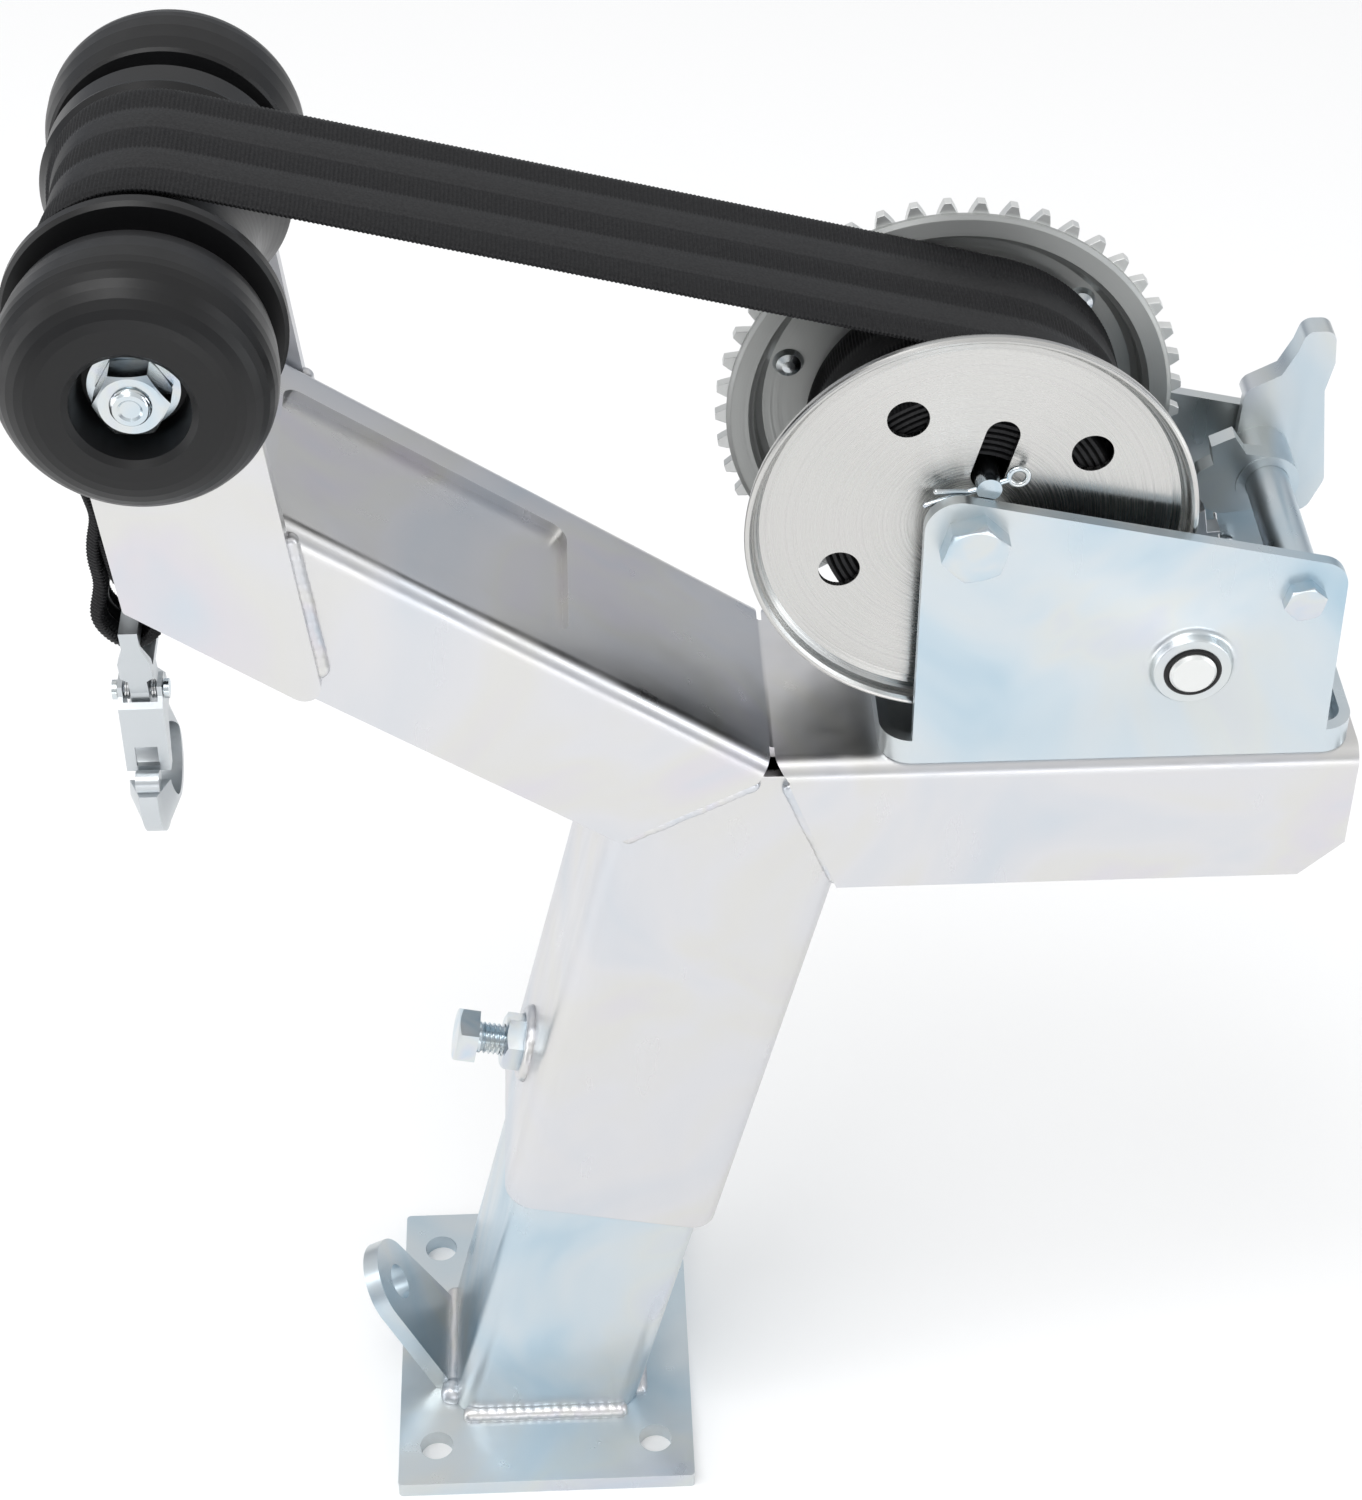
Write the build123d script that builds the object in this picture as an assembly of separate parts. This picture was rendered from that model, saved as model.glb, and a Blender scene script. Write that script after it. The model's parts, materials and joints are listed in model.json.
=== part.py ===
"""Boat trailer winch stand: leaning post, sliding head, bow roller, strap winch and snap hook.

Millimetres. The origin is the centre of the base plate's underside. +X points from the bow
roller to the winch, +Y to the gear side, +Z up.
"""
from build123d import *
import math
import os

# ---------------------------------------------------------------- driving dimensions
BASE_X, BASE_Y, BASE_T = 98.0, 116.0, 6.0
BASE_HOLE_X, BASE_HOLE_Y, BASE_HOLE_R = 73.0, 85.0, 5.5

LEAN = 13.0                                   # post and sleeve, degrees from vertical
POST_SIDE, POST_WALL, POST_CORNER = 60.0, 4.0, 8.0
POST_LENGTH = 190.0
SLEEVE_SIDE, SLEEVE_WALL, SLEEVE_CORNER = 68.0, 3.5, 9.0
SLEEVE_START = 104.3                          # along the post's axis, above the base plate

SHEET = 3.5                                   # folded head channel
CHANNEL_HALF, CHANNEL_DEPTH = 37.5, 45.5
BEND_OUTER = 6.0
CREASE_X, CREASE_Z = 71.0, 296.5
ARM_ANGLE, ARM_LENGTH = 34.5, 173.0
PLATFORM_END = 233.5
SEAM_ARM = (30.1, 271.5)                      # bottom end of the arm flange's cut edge
SEAM_PLATFORM = (89.4, 252.0)                 # bottom end of the platform flange's cut edge
WINDOW_START, WINDOW_END, WINDOW_HALF = 66.5, 157.0, 23.5

ROLLER_X, ROLLER_Z = -84.0, 442.5
EAR_T, EAR_TOP_R = 5.0, 22.5
EAR_IN, EAR_OUT = CHANNEL_HALF, CHANNEL_HALF + EAR_T
WHEEL_R, WHEEL_IN, WHEEL_OUT, WHEEL_SEAT = 34.0, 44.0, 73.0, 60.0
TUBE_R, AXLE_R = 7.0, 5.0

DRUM_X, DRUM_Z = 121.7, 371.5
GEAR_TEETH, PINION_TEETH, MODULE = 45, 9, 2.75
PRESSURE_ANGLE, BACKLASH, TIP_CUT = 25.0, 0.3, 0.7
CENTRES = MODULE * (GEAR_TEETH + PINION_TEETH) / 2
PINION_BEARING = -34.87                       # from drum axis to pinion axis, degrees
PINION_X = DRUM_X + CENTRES * math.cos(math.radians(PINION_BEARING))
PINION_Z = DRUM_Z + CENTRES * math.sin(math.radians(PINION_BEARING))
SHAFT_R = 6.35
PLATE_IN, PLATE_OUT = 33.5, 37.0              # winch side plates
PAWL_X, PAWL_Z = 210.3, 351.0
PAWL_TUBE_R = 6.0
STRAP_W, STRAP_T = 49.0, 1.8
STRAP_Y = -1.1                                # middle of the strap on the roller
ROLL_R = 40.2                                 # strap wound on the drum
LAST_TURN_R, LAST_TURN = 43.0, 100.0          # loose last turn: radius and degrees
SPAN_R = 49.15                                # middle of the strap's run, from the drum axis
RUN = 0.05                                    # radial running clearance

EYE_X, EYE_Z = -103.5, 328.0                  # hook eye's top bar, where the strap holds it
HOOK_T, HOOK_WIDE = 9.0, 13.4                  # at the neck and at the bowl


# ---------------------------------------------------------------- helpers
def at_y(y):
    """Sketch plane whose local axes are X and Z, extruding towards -Y."""
    return Plane(origin=(0, y, 0), x_dir=(1, 0, 0), z_dir=(0, -1, 0))


def slab(sketch, y0, y1):
    """Extrude a sketch drawn in X and Z from y0 to y1."""
    return extrude(at_y(y1) * sketch, y1 - y0, dir=(0, -1, 0))


def prism(points, y0, y1):
    return slab(Polygon(*points, align=None), y0, y1)


def rod(x, z, radius, y0, y1):
    return slab(Pos(x, z) * Circle(radius), y0, y1)


def tube(x, z, outer, inner, y0, y1):
    return rod(x, z, outer, y0, y1) - rod(x, z, inner, y0 - 1, y1 + 1)


def turned(points, x, z):
    """Revolve (radius, y) points about a line along Y through x, z."""
    return Pos(x, 0, z) * revolve(Polygon(*points, align=None), Axis.Y)


def rounded(points, radii):
    """Polygon with some corners rounded; radii maps a point's index to its radius."""
    sketch = Polygon(*points, align=None)
    for index, radius in radii.items():
        x, z = points[index]
        corner = sketch.vertices().sort_by_distance((x, z, 0))[0]
        sketch = fillet(corner, radius)
    return sketch


def hull(*sketches):
    """Outline stretched round several flat shapes."""
    return make_hull([edge for sketch in sketches for edge in sketch.edges()])


def disc(x, z, radius):
    return Pos(x, z) * Circle(radius)


def polar(x, z, radius, degrees):
    angle = math.radians(degrees)
    return x + radius * math.cos(angle), z + radius * math.sin(angle)


def hex_blank(flats, height, both_ends=False):
    """Hexagon standing on Z = 0 with the usual turned chamfer on top, or on both ends."""
    corner = flats / math.sqrt(3)
    drop = (corner - 0.95 * flats / 2) * math.tan(math.radians(30))
    low = drop if both_ends else 0
    foot = 0.95 * flats / 2 if both_ends else corner
    outline = [(0, 0), (foot, 0), (corner, low), (corner, height - drop), (0.95 * flats / 2, height), (0, height)]
    turned_blank = revolve(Plane.XZ * Polygon(*outline, align=None), Axis.Z)
    return extrude(RegularPolygon(flats / 2, 6, major_radius=False), height) & turned_blank


def bolt(radius, length, flats, head):
    """Hexagon bolt: head above Z = 0, shank below it with a chamfered end."""
    tip = 0.8
    outline = [(0, 0), (radius, 0), (radius, tip - length), (radius - tip, -length), (0, -length)]
    return hex_blank(flats, head) + revolve(Plane.XZ * Polygon(*outline, align=None), Axis.Z)


def nut(flats, height, hole):
    return hex_blank(flats, height, True) - Cylinder(hole, 3 * height)


def washer(outer, hole, thick):
    return Cylinder(outer, thick, align=(Align.CENTER, Align.CENTER, Align.MIN)) - Cylinder(hole, 4 * thick)


def facing(x, y, z, direction):
    return Plane(origin=(x, y, z), z_dir=direction)


def bead(start, end, radius):
    """Round-ended weld bead from one point to another."""
    first, last = Vector(*start), Vector(*end)
    middle = Plane(origin=first, z_dir=(last - first)) * Cylinder(
        radius, (last - first).length, align=(Align.CENTER, Align.CENTER, Align.MIN))
    return Pos(first) * Sphere(radius) + middle + Pos(last) * Sphere(radius)


def on_post(along, across, y=0.0):
    """Point at a distance along the leaning axis and across it, towards the winch."""
    lean = math.radians(LEAN)
    x = along * math.sin(lean) + across * math.cos(lean)
    z = BASE_T + along * math.cos(lean) - across * math.sin(lean)
    return x, y, z


def on_arm(along, lift=0.0):
    """X and Z of a point on the arm's web, along it from the crease and lifted off its top."""
    angle = math.radians(ARM_ANGLE)
    x = CREASE_X - along * math.cos(angle) + lift * math.sin(angle)
    z = CREASE_Z + along * math.sin(angle) + lift * math.cos(angle)
    return x, z


def leaning_tube(side, wall, corner, start, end):
    """Square tube on the leaning axis."""
    lean = math.radians(LEAN)
    plane = Plane(origin=on_post(start, 0), x_dir=(math.cos(lean), 0, -math.sin(lean)),
                  z_dir=(math.sin(lean), 0, math.cos(lean)))
    section = RectangleRounded(side, side, corner) - RectangleRounded(
        side - 2 * wall, side - 2 * wall, corner - wall)
    return extrude(plane * section, end - start)


# ---------------------------------------------------------------- base
def base_plate():
    plate = Pos(0, 0, BASE_T / 2) * Box(BASE_X, BASE_Y, BASE_T)
    plate = fillet(plate.edges().filter_by(Axis.Z), 1.5)
    holes = [Pos(x * BASE_HOLE_X / 2, y * BASE_HOLE_Y / 2, 0) * Cylinder(BASE_HOLE_R, 4 * BASE_T)
             for x in (-1, 1) for y in (-1, 1)]
    return plate - holes


def lower_post():
    post = leaning_tube(POST_SIDE, POST_WALL, POST_CORNER, -20, POST_LENGTH)
    return post - Pos(0, 0, BASE_T - 50) * Box(200, 200, 100)


LUG_ROOT, LUG_ANGLE, LUG_T, LUG_HOLE_R = -34.0, 63.5, 5.5, 6.0
LUG_REACH, LUG_TIP_R, LUG_HALF = 36.6, 15.0, 18.5


def chain_lug():
    """Safety chain lug: a tapered plate that leans away from the post's foot."""
    angle = math.radians(LUG_ANGLE)
    plane = Plane(origin=(LUG_ROOT, 0, BASE_T), x_dir=(0, 1, 0),
                  z_dir=(math.sin(angle), 0, math.cos(angle)))
    side = -1 if plane.y_dir.Z < 0 else 1
    outline = hull(disc(0, side * LUG_REACH, LUG_TIP_R), Pos(0, side * -2) * Rectangle(2 * LUG_HALF, 8))
    plate = outline - Pos(0, side * LUG_REACH) * Circle(LUG_HOLE_R)
    lug = extrude(plane * plate, LUG_T / 2, both=True)
    return lug - Pos(0, 0, BASE_T - 50) * Box(300, 300, 100)


def base_weld_beads(plate, post, lug):
    half = POST_SIDE / 2
    level = BASE_T + 0.6
    reach = half / math.cos(math.radians(LEAN))
    beads = bead((-25, -half - 0.8, level), (reach - 6, -half - 0.8, level), 3.0)
    beads += bead((-25, half + 0.8, level), (reach - 6, half + 0.8, level), 3.0)
    beads += bead((reach + 0.8, -22, level), (reach + 0.8, 22, level), 3.0)
    beads += bead((-reach - 0.4, -20, level + 0.4), (-reach - 0.4, 20, level + 0.4), 3.0)
    beads += Pos(-reach - 0.5, -21.5, level + 0.5) * Sphere(4.4)
    return beads - plate - post - lug


# ---------------------------------------------------------------- sliding head
def sleeve_tube():
    sleeve = leaning_tube(SLEEVE_SIDE, SLEEVE_WALL, SLEEVE_CORNER, SLEEVE_START, 420)
    gap = SHEET + 2.6
    slope = math.tan(math.radians(ARM_ANGLE))
    drop = gap / math.cos(math.radians(ARM_ANGLE))
    corner_x = CREASE_X - (drop - gap) / slope
    above = [(-150, CREASE_Z - drop + (CREASE_X + 150) * slope), (corner_x, CREASE_Z - gap),
             (300, CREASE_Z - gap), (300, 700), (-150, 700)]
    sleeve = sleeve - prism(above, -100, 100)
    x, y, z = on_post(SET_ALONG, -SLEEVE_SIDE / 2)
    return sleeve - facing(x, y, z, POST_LEFT) * Cylinder(AXLE_R + 0.3, 30)


def channel_section():
    half, depth = CHANNEL_HALF, CHANNEL_DEPTH
    points = [(-half, -depth), (-half, 0), (half, 0), (half, -depth), (half - SHEET, -depth),
              (half - SHEET, -SHEET), (SHEET - half, -SHEET), (SHEET - half, -depth)]
    inner = BEND_OUTER - SHEET
    return rounded(points, {1: BEND_OUTER, 2: BEND_OUTER, 5: inner, 6: inner})


def head_channel():
    """One sheet folded at the crease: the sloping arm and the level winch platform."""
    angle = math.radians(ARM_ANGLE)
    origin = (CREASE_X, 0, CREASE_Z)
    up_arm = Plane(origin=origin, x_dir=(0, -1, 0), z_dir=(-math.cos(angle), 0, math.sin(angle)))
    along = Plane(origin=origin, x_dir=(0, 1, 0), z_dir=(1, 0, 0))
    arm = extrude(up_arm.offset(-12) * channel_section(), ARM_LENGTH + 12, dir=up_arm.z_dir)
    platform = extrude(along.offset(-12) * channel_section(), PLATFORM_END - CREASE_X + 12, dir=along.z_dir)
    mitre = math.tan(angle / 2)
    low, high = (CREASE_X - 100 * mitre, CREASE_Z - 100), (CREASE_X + 20 * mitre, CREASE_Z + 20)
    arm -= prism([low, (400, CREASE_Z - 100), (400, CREASE_Z + 20), high], -60, 60)
    platform -= prism([low, high, (-400, CREASE_Z + 20), (-400, CREASE_Z - 100)], -60, 60)
    head = arm + platform
    head -= prism(flange_gap(), -60, 60)
    notch = [(CREASE_X, CREASE_Z + 1.2), (CREASE_X - 4.6, CREASE_Z - 6), (CREASE_X + 4.8, CREASE_Z - 6)]
    head -= prism(notch, -60, -28.5) + prism(notch, 28.5, 60)
    end = [(PLATFORM_END - 13, CREASE_Z - CHANNEL_DEPTH - 1), (PLATFORM_END + 1, CREASE_Z - CHANNEL_DEPTH - 1),
           (PLATFORM_END + 1, CREASE_Z - CHANNEL_DEPTH + 13)]
    head -= prism(end, -60, 60)
    window = arm_plate(WINDOW_START, WINDOW_END, WINDOW_HALF, 5.0, 4.0, 2.0 * SHEET)
    for x, y in WINCH_BOLTS:
        head -= Pos(x, y, CREASE_Z) * Cylinder(WINCH_BOLT_R + 0.4, 20)
    return head - window


def flange_gap():
    """The V left open between the arm's and the platform's flanges."""
    low_arm = (CREASE_X - 1.5 + 1.6 * (SEAM_ARM[0] - CREASE_X + 1.5),
               CREASE_Z - 4 + 1.6 * (SEAM_ARM[1] - CREASE_Z + 4))
    low_platform = (CREASE_X + 3.6 + 1.6 * (SEAM_PLATFORM[0] - CREASE_X - 3.6),
                    CREASE_Z - 4 + 1.6 * (SEAM_PLATFORM[1] - CREASE_Z + 4))
    return [(CREASE_X - 1.5, CREASE_Z - 4), (CREASE_X + 3.6, CREASE_Z - 4), low_platform, low_arm]


def arm_plate(start, end, half, corner, top, thick):
    """Rounded plate lying in the arm's slope, its upper face lifted by top off the web."""
    angle = math.radians(ARM_ANGLE)
    middle = (start + end) / 2
    x, z = on_arm(middle, top)
    plane = Plane(origin=(x, 0, z), x_dir=(-math.cos(angle), 0, math.sin(angle)),
                  z_dir=(-math.sin(angle), 0, -math.cos(angle)))
    return extrude(plane * RectangleRounded(end - start, 2 * half, corner), thick)


def arm_doubler():
    return arm_plate(WINDOW_START - 8, WINDOW_END + 10, WINDOW_HALF + 6, 3.0, -SHEET, 3.0)


def roller_ear(side):
    """Cheek plate outside the arm, round at the top, with the axle tube's hole."""
    outline = hull(disc(ROLLER_X, ROLLER_Z, EAR_TOP_R), disc(-54.0, 333.5, 4.5), disc(-97.0, 361.0, 1.5))
    outline -= Pos(ROLLER_X, ROLLER_Z) * Circle(TUBE_R + RUN)
    return slab(outline, *sorted((side * EAR_IN, side * EAR_OUT)))


POST_LEFT = (-math.cos(math.radians(LEAN)), 0, math.sin(math.radians(LEAN)))
SET_ALONG = 143.0


def weld_nut():
    x, y, z = on_post(SET_ALONG, -SLEEVE_SIDE / 2)
    return facing(x, y, z, POST_LEFT) * nut(16.0, 8.0, AXLE_R + 0.05)


def set_bolt():
    """Height clamp bolt; its tip bears on the post."""
    seat = POST_SIDE / 2 + 0.05
    x, y, z = on_post(SET_ALONG, -seat - 20.5)
    return facing(x, y, z, POST_LEFT) * bolt(AXLE_R, 20.5, 16.0, 6.4)


def head_weld_beads(sleeve, channel, ears, fixed_nut):
    beads = []
    gap = flange_gap()
    for side in (-1, 1):
        y = side * (SLEEVE_SIDE / 2 + 0.4)
        beads.append(bead((gap[0][0] - 4, y, gap[0][1] - 4), (SEAM_ARM[0] + 1, y, SEAM_ARM[1] - 1), 2.4))
        beads.append(bead((gap[1][0] + 1.5, y, gap[1][1] - 6), (SEAM_PLATFORM[0], y, SEAM_PLATFORM[1] + 1), 2.4))
        y = side * (CHANNEL_HALF + 0.3)
        top, foot = (-55.0, 378.0), (-50.4, 336.5)
        beads.append(bead((top[0] + 0.6, y, top[1]), (foot[0] + 0.6, y, foot[1]), 2.8))
    x, y, z = on_post(SET_ALONG, -SLEEVE_SIDE / 2)
    ring = [(8.4, 0), (12.4, 0), (11.6, 1.6), (10.0, 3.4), (8.6, 4.2), (8.4, 4.2)]
    beads.append(facing(x, y, z, POST_LEFT) * revolve(Plane.XZ * Polygon(*ring, align=None), Axis.Z))
    cutters = [sleeve, channel, fixed_nut, *ears]
    trimmed = []
    for item in beads:
        for cutter in cutters:
            item = item - cutter
        trimmed += [solid for solid in item.solids() if solid.volume > 20]
    return Compound(trimmed)


# ---------------------------------------------------------------- bow roller
def roller_axle_bolt():
    return facing(ROLLER_X, WHEEL_SEAT + 2.3, ROLLER_Z, (0, 1, 0)) * bolt(AXLE_R, 2 * WHEEL_SEAT + 14.4, 16.0, 6.4)


def roller_axle_nut():
    place = facing(ROLLER_X, -WHEEL_SEAT - 2.3, ROLLER_Z, (0, -1, 0))
    return place * Rot(0, 0, 30) * nut(16.0, 8.0, AXLE_R + 0.03)


def roller_axle_washers():
    front = facing(ROLLER_X, -WHEEL_SEAT - 0.3, ROLLER_Z, (0, -1, 0)) * washer(11.0, AXLE_R + 0.3, 2.0)
    rear = facing(ROLLER_X, WHEEL_SEAT + 0.3, ROLLER_Z, (0, 1, 0)) * washer(11.0, AXLE_R + 0.3, 2.0)
    return Compound([*front.solids(), *rear.solids()])


def roller_axle_tube():
    return tube(ROLLER_X, ROLLER_Z, TUBE_R, AXLE_R + 0.1, -WHEEL_SEAT - 0.3, WHEEL_SEAT + 0.3)


BUSH_R = 10.0


def wheel(side):
    """Solid rubber side wheel, flat inside, well rounded outside, with a deep hub recess."""
    arc = [(20.0 + 14.0 * math.cos(math.radians(a)), 58.6 + 14.0 * math.sin(math.radians(a)))
           for a in range(0, 91, 10)]
    rim = [(31.4, WHEEL_IN), (32.2, WHEEL_IN + 0.8), (33.2, WHEEL_IN + 5), (33.9, WHEEL_IN + 10)]
    points = [(BUSH_R, WHEEL_IN), *rim, *arc, (16.0, WHEEL_OUT - 0.2), (14.4, WHEEL_OUT - 1.6),
              (12.4, WHEEL_SEAT), (BUSH_R, WHEEL_SEAT)]
    return turned([(r, side * y) for r, y in points], ROLLER_X, ROLLER_Z)


def wheel_bush(side):
    low, high = sorted((side * WHEEL_IN, side * WHEEL_SEAT))
    return tube(ROLLER_X, ROLLER_Z, BUSH_R, TUBE_R + RUN, low, high)


def thrust_washers():
    rings = [tube(ROLLER_X, ROLLER_Z, 15.0, TUBE_R + RUN, *sorted((side * (EAR_OUT + 0.1), side * (WHEEL_IN - 0.2))))
             for side in (-1, 1)]
    return Compound([solid for ring in rings for solid in ring.solids()])


SPOOL_END = 37.2


def spool_radius(y):
    return 24.5 + 6.3 * ((y + 2.0) / 26.0) ** 2


def spool_roller():
    """Hourglass strap roller with a tall front flange and a lower rear one."""
    waist = [(spool_radius(y), y) for y in range(-30, 28, 3)]
    points = [(BUSH_R, -SPOOL_END), (34.0, -SPOOL_END), (35.0, -SPOOL_END + 1), (35.0, -33.6), (34.4, -32.4),
              *waist, (32.0, 28.5), (32.0, SPOOL_END - 1.5), (30.8, SPOOL_END), (BUSH_R, SPOOL_END)]
    return turned(points, ROLLER_X, ROLLER_Z)


def spool_bushes():
    rings = [tube(ROLLER_X, ROLLER_Z, BUSH_R, TUBE_R + RUN, *sorted((side * SPOOL_END, side * (SPOOL_END - 18))))
             for side in (-1, 1)]
    return Compound([solid for ring in rings for solid in ring.solids()])


# ---------------------------------------------------------------- winch frame
WINCH_BOLT_R = 4.0
WINCH_BOLTS = [(118.0, 0.0), (206.0, -20.0), (206.0, 20.0)]
FLOOR_Z = CREASE_Z
FLOOR_T = 3.0
FLOOR_X0, FLOOR_X1 = 100.5, 231.0


def side_plate(y0, y1):
    points = [(108.9, FLOOR_Z + 0.5), (108.7, 386.5), (221.6, 360.3), (222.8, FLOOR_Z + 0.5)]
    return slab(rounded(points, {0: 3.0, 1: 9.0, 2: 8.0, 3: 3.0}), y0, y1)


def winch_frame():
    """Pressed U frame: pan-shaped floor with lips at both ends, two side plates, front collar."""
    middle = (FLOOR_X0 + FLOOR_X1) / 2
    length = FLOOR_X1 - FLOOR_X0
    outer = Pos(middle, 0, FLOOR_Z) * extrude(RectangleRounded(length, 2 * PLATE_OUT, 9.0), 8.0)
    inner = Pos(middle, 0, FLOOR_Z + FLOOR_T) * extrude(RectangleRounded(length - 6, 2 * PLATE_IN, 6.0), 20.0)
    frame = outer - inner
    frame += side_plate(-PLATE_OUT, -PLATE_IN) + side_plate(PLATE_IN, PLATE_OUT)
    flare = [(COLLAR_R + 2.2, 1 - PLATE_OUT), (COLLAR_R + 2.2, -PLATE_OUT), (COLLAR_R + 0.9, -PLATE_OUT - 0.5),
             (COLLAR_R + 0.2, -PLATE_OUT - 1.4), (COLLAR_R, COLLAR_FRONT + 0.5), (COLLAR_R - 0.5, COLLAR_FRONT)]
    frame += turned([(COLLAR_BORE, 1 - PLATE_OUT), *flare, (COLLAR_BORE, COLLAR_FRONT)], PINION_X, PINION_Z)
    frame -= rod(PINION_X, PINION_Z, COLLAR_BORE, -60, 0) + rod(PINION_X, PINION_Z, BUSH_SEAT_R, 0, 60)
    frame -= rod(DRUM_X, DRUM_Z, AXLE_R + 0.05, -60, 60)
    frame -= rod(PAWL_X, PAWL_Z, 3.1, -60, 60)
    for x, y in WINCH_BOLTS:
        frame -= Pos(x, y, FLOOR_Z) * Cylinder(WINCH_BOLT_R + 0.4, 30)
    return frame


def winch_mount_bolts():
    shapes = [facing(x, y, FLOOR_Z + FLOOR_T, (0, 0, 1)) * bolt(WINCH_BOLT_R, 18.0, 13.0, 5.3)
              for x, y in WINCH_BOLTS]
    return Compound([solid for shape in shapes for solid in shape.solids()])


def winch_mount_nuts():
    shapes = [facing(x, y, CREASE_Z - SHEET, (0, 0, -1)) * nut(13.0, 6.8, WINCH_BOLT_R + 0.03)
              for x, y in WINCH_BOLTS]
    return Compound([solid for shape in shapes for solid in shape.solids()])


# ---------------------------------------------------------------- drum
HUB_R, SPACER_R = 10.8, 8.0
FLANGE_R, FLANGE_WEB, FLANGE_RIM, FLANGE_T = 59.3, -27.4, -32.5, 1.6
REAR_RIM_R, REAR_RIM, REAR_WEB = 61.0, 23.6, 29.6
GEAR_Y0, GEAR_Y1 = REAR_RIM + FLANGE_T, 28.2
ANCHOR_R, ANCHOR_ORBIT, ANCHOR_AT = 3.3, 14.3, 75.4
RIVET_ORBIT, RIVET_AT, RIVET_R = 45.8, (163.5, 41.5, -78.0), 2.5
HOLE_ORBIT, HOLE_AT, HOLE_R = 36.8, (118.5, 33.8, -61.0, -156.5), 5.5


def drum_flange_front():
    """Pressed disc with a thin rim curled forwards, four round holes and the strap pin's slot."""
    outside = [(53.0, FLANGE_WEB), (55.2, FLANGE_WEB - 0.5), (56.6, FLANGE_WEB - 1.8), (57.3, FLANGE_RIM + 1.0),
               (58.0, FLANGE_RIM + 0.2), (58.6, FLANGE_RIM), (59.1, FLANGE_RIM + 0.3), (FLANGE_R, FLANGE_RIM + 0.9)]
    inside = [(59.1, FLANGE_RIM + 2.2), (58.4, FLANGE_WEB - 1.4), (57.1, FLANGE_WEB + 0.3),
              (55.4, FLANGE_WEB + 1.2), (53.2, FLANGE_WEB + FLANGE_T)]
    flange = turned([(HUB_R, FLANGE_WEB), *outside, *inside, (HUB_R, FLANGE_WEB + FLANGE_T)], DRUM_X, DRUM_Z)
    for degrees in HOLE_AT:
        flange -= rod(*polar(DRUM_X, DRUM_Z, HOLE_ORBIT, degrees), HOLE_R, -40, 0)
    slot = Pos(DRUM_X, DRUM_Z) * Rot(0, 0, ANCHOR_AT) * Pos(21.25, 0) * SlotOverall(21.5, 9.0)
    return flange - slab(slot, -40, 0)


def drum_flange_rear():
    """Dished disc riveted to the gear: a raised outer ring, a step and a deeper middle."""
    points = [(HUB_R, REAR_WEB), (50.8, REAR_WEB), (52.6, REAR_WEB - 1.2), (53.4, REAR_RIM + 1.4),
              (55.0, REAR_RIM), (59.8, REAR_RIM), (REAR_RIM_R, REAR_RIM + 0.6), (REAR_RIM_R, GEAR_Y0),
              (56.2, GEAR_Y0), (55.2, REAR_RIM + 3.2), (54.4, REAR_WEB + FLANGE_T), (HUB_R, REAR_WEB + FLANGE_T)]
    flange = turned(points, DRUM_X, DRUM_Z)
    for degrees in RIVET_AT:
        flange -= rod(*polar(DRUM_X, DRUM_Z, RIVET_ORBIT, degrees), RIVET_R + 0.1, 0, 50)
    return flange - rod(*polar(DRUM_X, DRUM_Z, ANCHOR_ORBIT, ANCHOR_AT), ANCHOR_R + 0.1, 0, 50)


def drum_hub():
    return tube(DRUM_X, DRUM_Z, HUB_R, SPACER_R + RUN, 0.3 - PLATE_IN, PLATE_IN - 0.3)


def involute_outline(teeth, bearing):
    """Spur gear outline; the middle of a tooth points along bearing."""
    alpha = math.radians(PRESSURE_ANGLE)
    pitch = MODULE * teeth / 2
    base = pitch * math.cos(alpha)
    tip, root = pitch + MODULE - TIP_CUT, pitch - 1.22 * MODULE
    half_pitch = (math.pi * MODULE / 2 - BACKLASH) / (2 * pitch)
    spread = math.tan(alpha) - alpha
    start = max(base, root)
    flank = []
    for step in range(4):
        radius = start + (tip - start) * step / 3
        roll = math.acos(base / radius)
        flank.append((radius, half_pitch + spread - (math.tan(roll) - roll)))
    if root < base:
        flank.insert(0, (root, flank[0][1]))
    points = []
    for tooth in range(teeth):
        centre = math.radians(bearing) + 2 * math.pi * tooth / teeth
        side = [(radius, centre - angle) for radius, angle in flank]
        side += [(radius, centre + angle) for radius, angle in reversed(flank)]
        points += [(radius * math.cos(angle), radius * math.sin(angle)) for radius, angle in side]
    return Polygon(*points, align=None)


def drive_gear():
    """Toothed ring fixed behind the rear flange's outer ring."""
    ring = slab(Pos(DRUM_X, DRUM_Z) * involute_outline(GEAR_TEETH, PINION_BEARING), GEAR_Y0, GEAR_Y1)
    return ring - rod(DRUM_X, DRUM_Z, 56.4, 0, 50)


def gear_rivets():
    """Domed rivets through the rear flange."""
    shapes = []
    for degrees in RIVET_AT:
        x, z = polar(DRUM_X, DRUM_Z, RIVET_ORBIT, degrees)
        dome = [(0, REAR_WEB - 2.8), (1.8, REAR_WEB - 2.5), (3.4, REAR_WEB - 1.6), (4.3, REAR_WEB),
                (RIVET_R, REAR_WEB), (RIVET_R, REAR_WEB + 1.7), (0, REAR_WEB + 1.7)]
        shapes.append(turned(dome, x, z))
    return Compound([solid for shape in shapes for solid in shape.solids()])


def strap_roll():
    """The strap wound on the drum."""
    return tube(DRUM_X, DRUM_Z, ROLL_R, 18.4, STRAP_Y - STRAP_W / 2, STRAP_Y + STRAP_W / 2)


SPLIT_PIN_Y = FLANGE_RIM + 1.2


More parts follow.
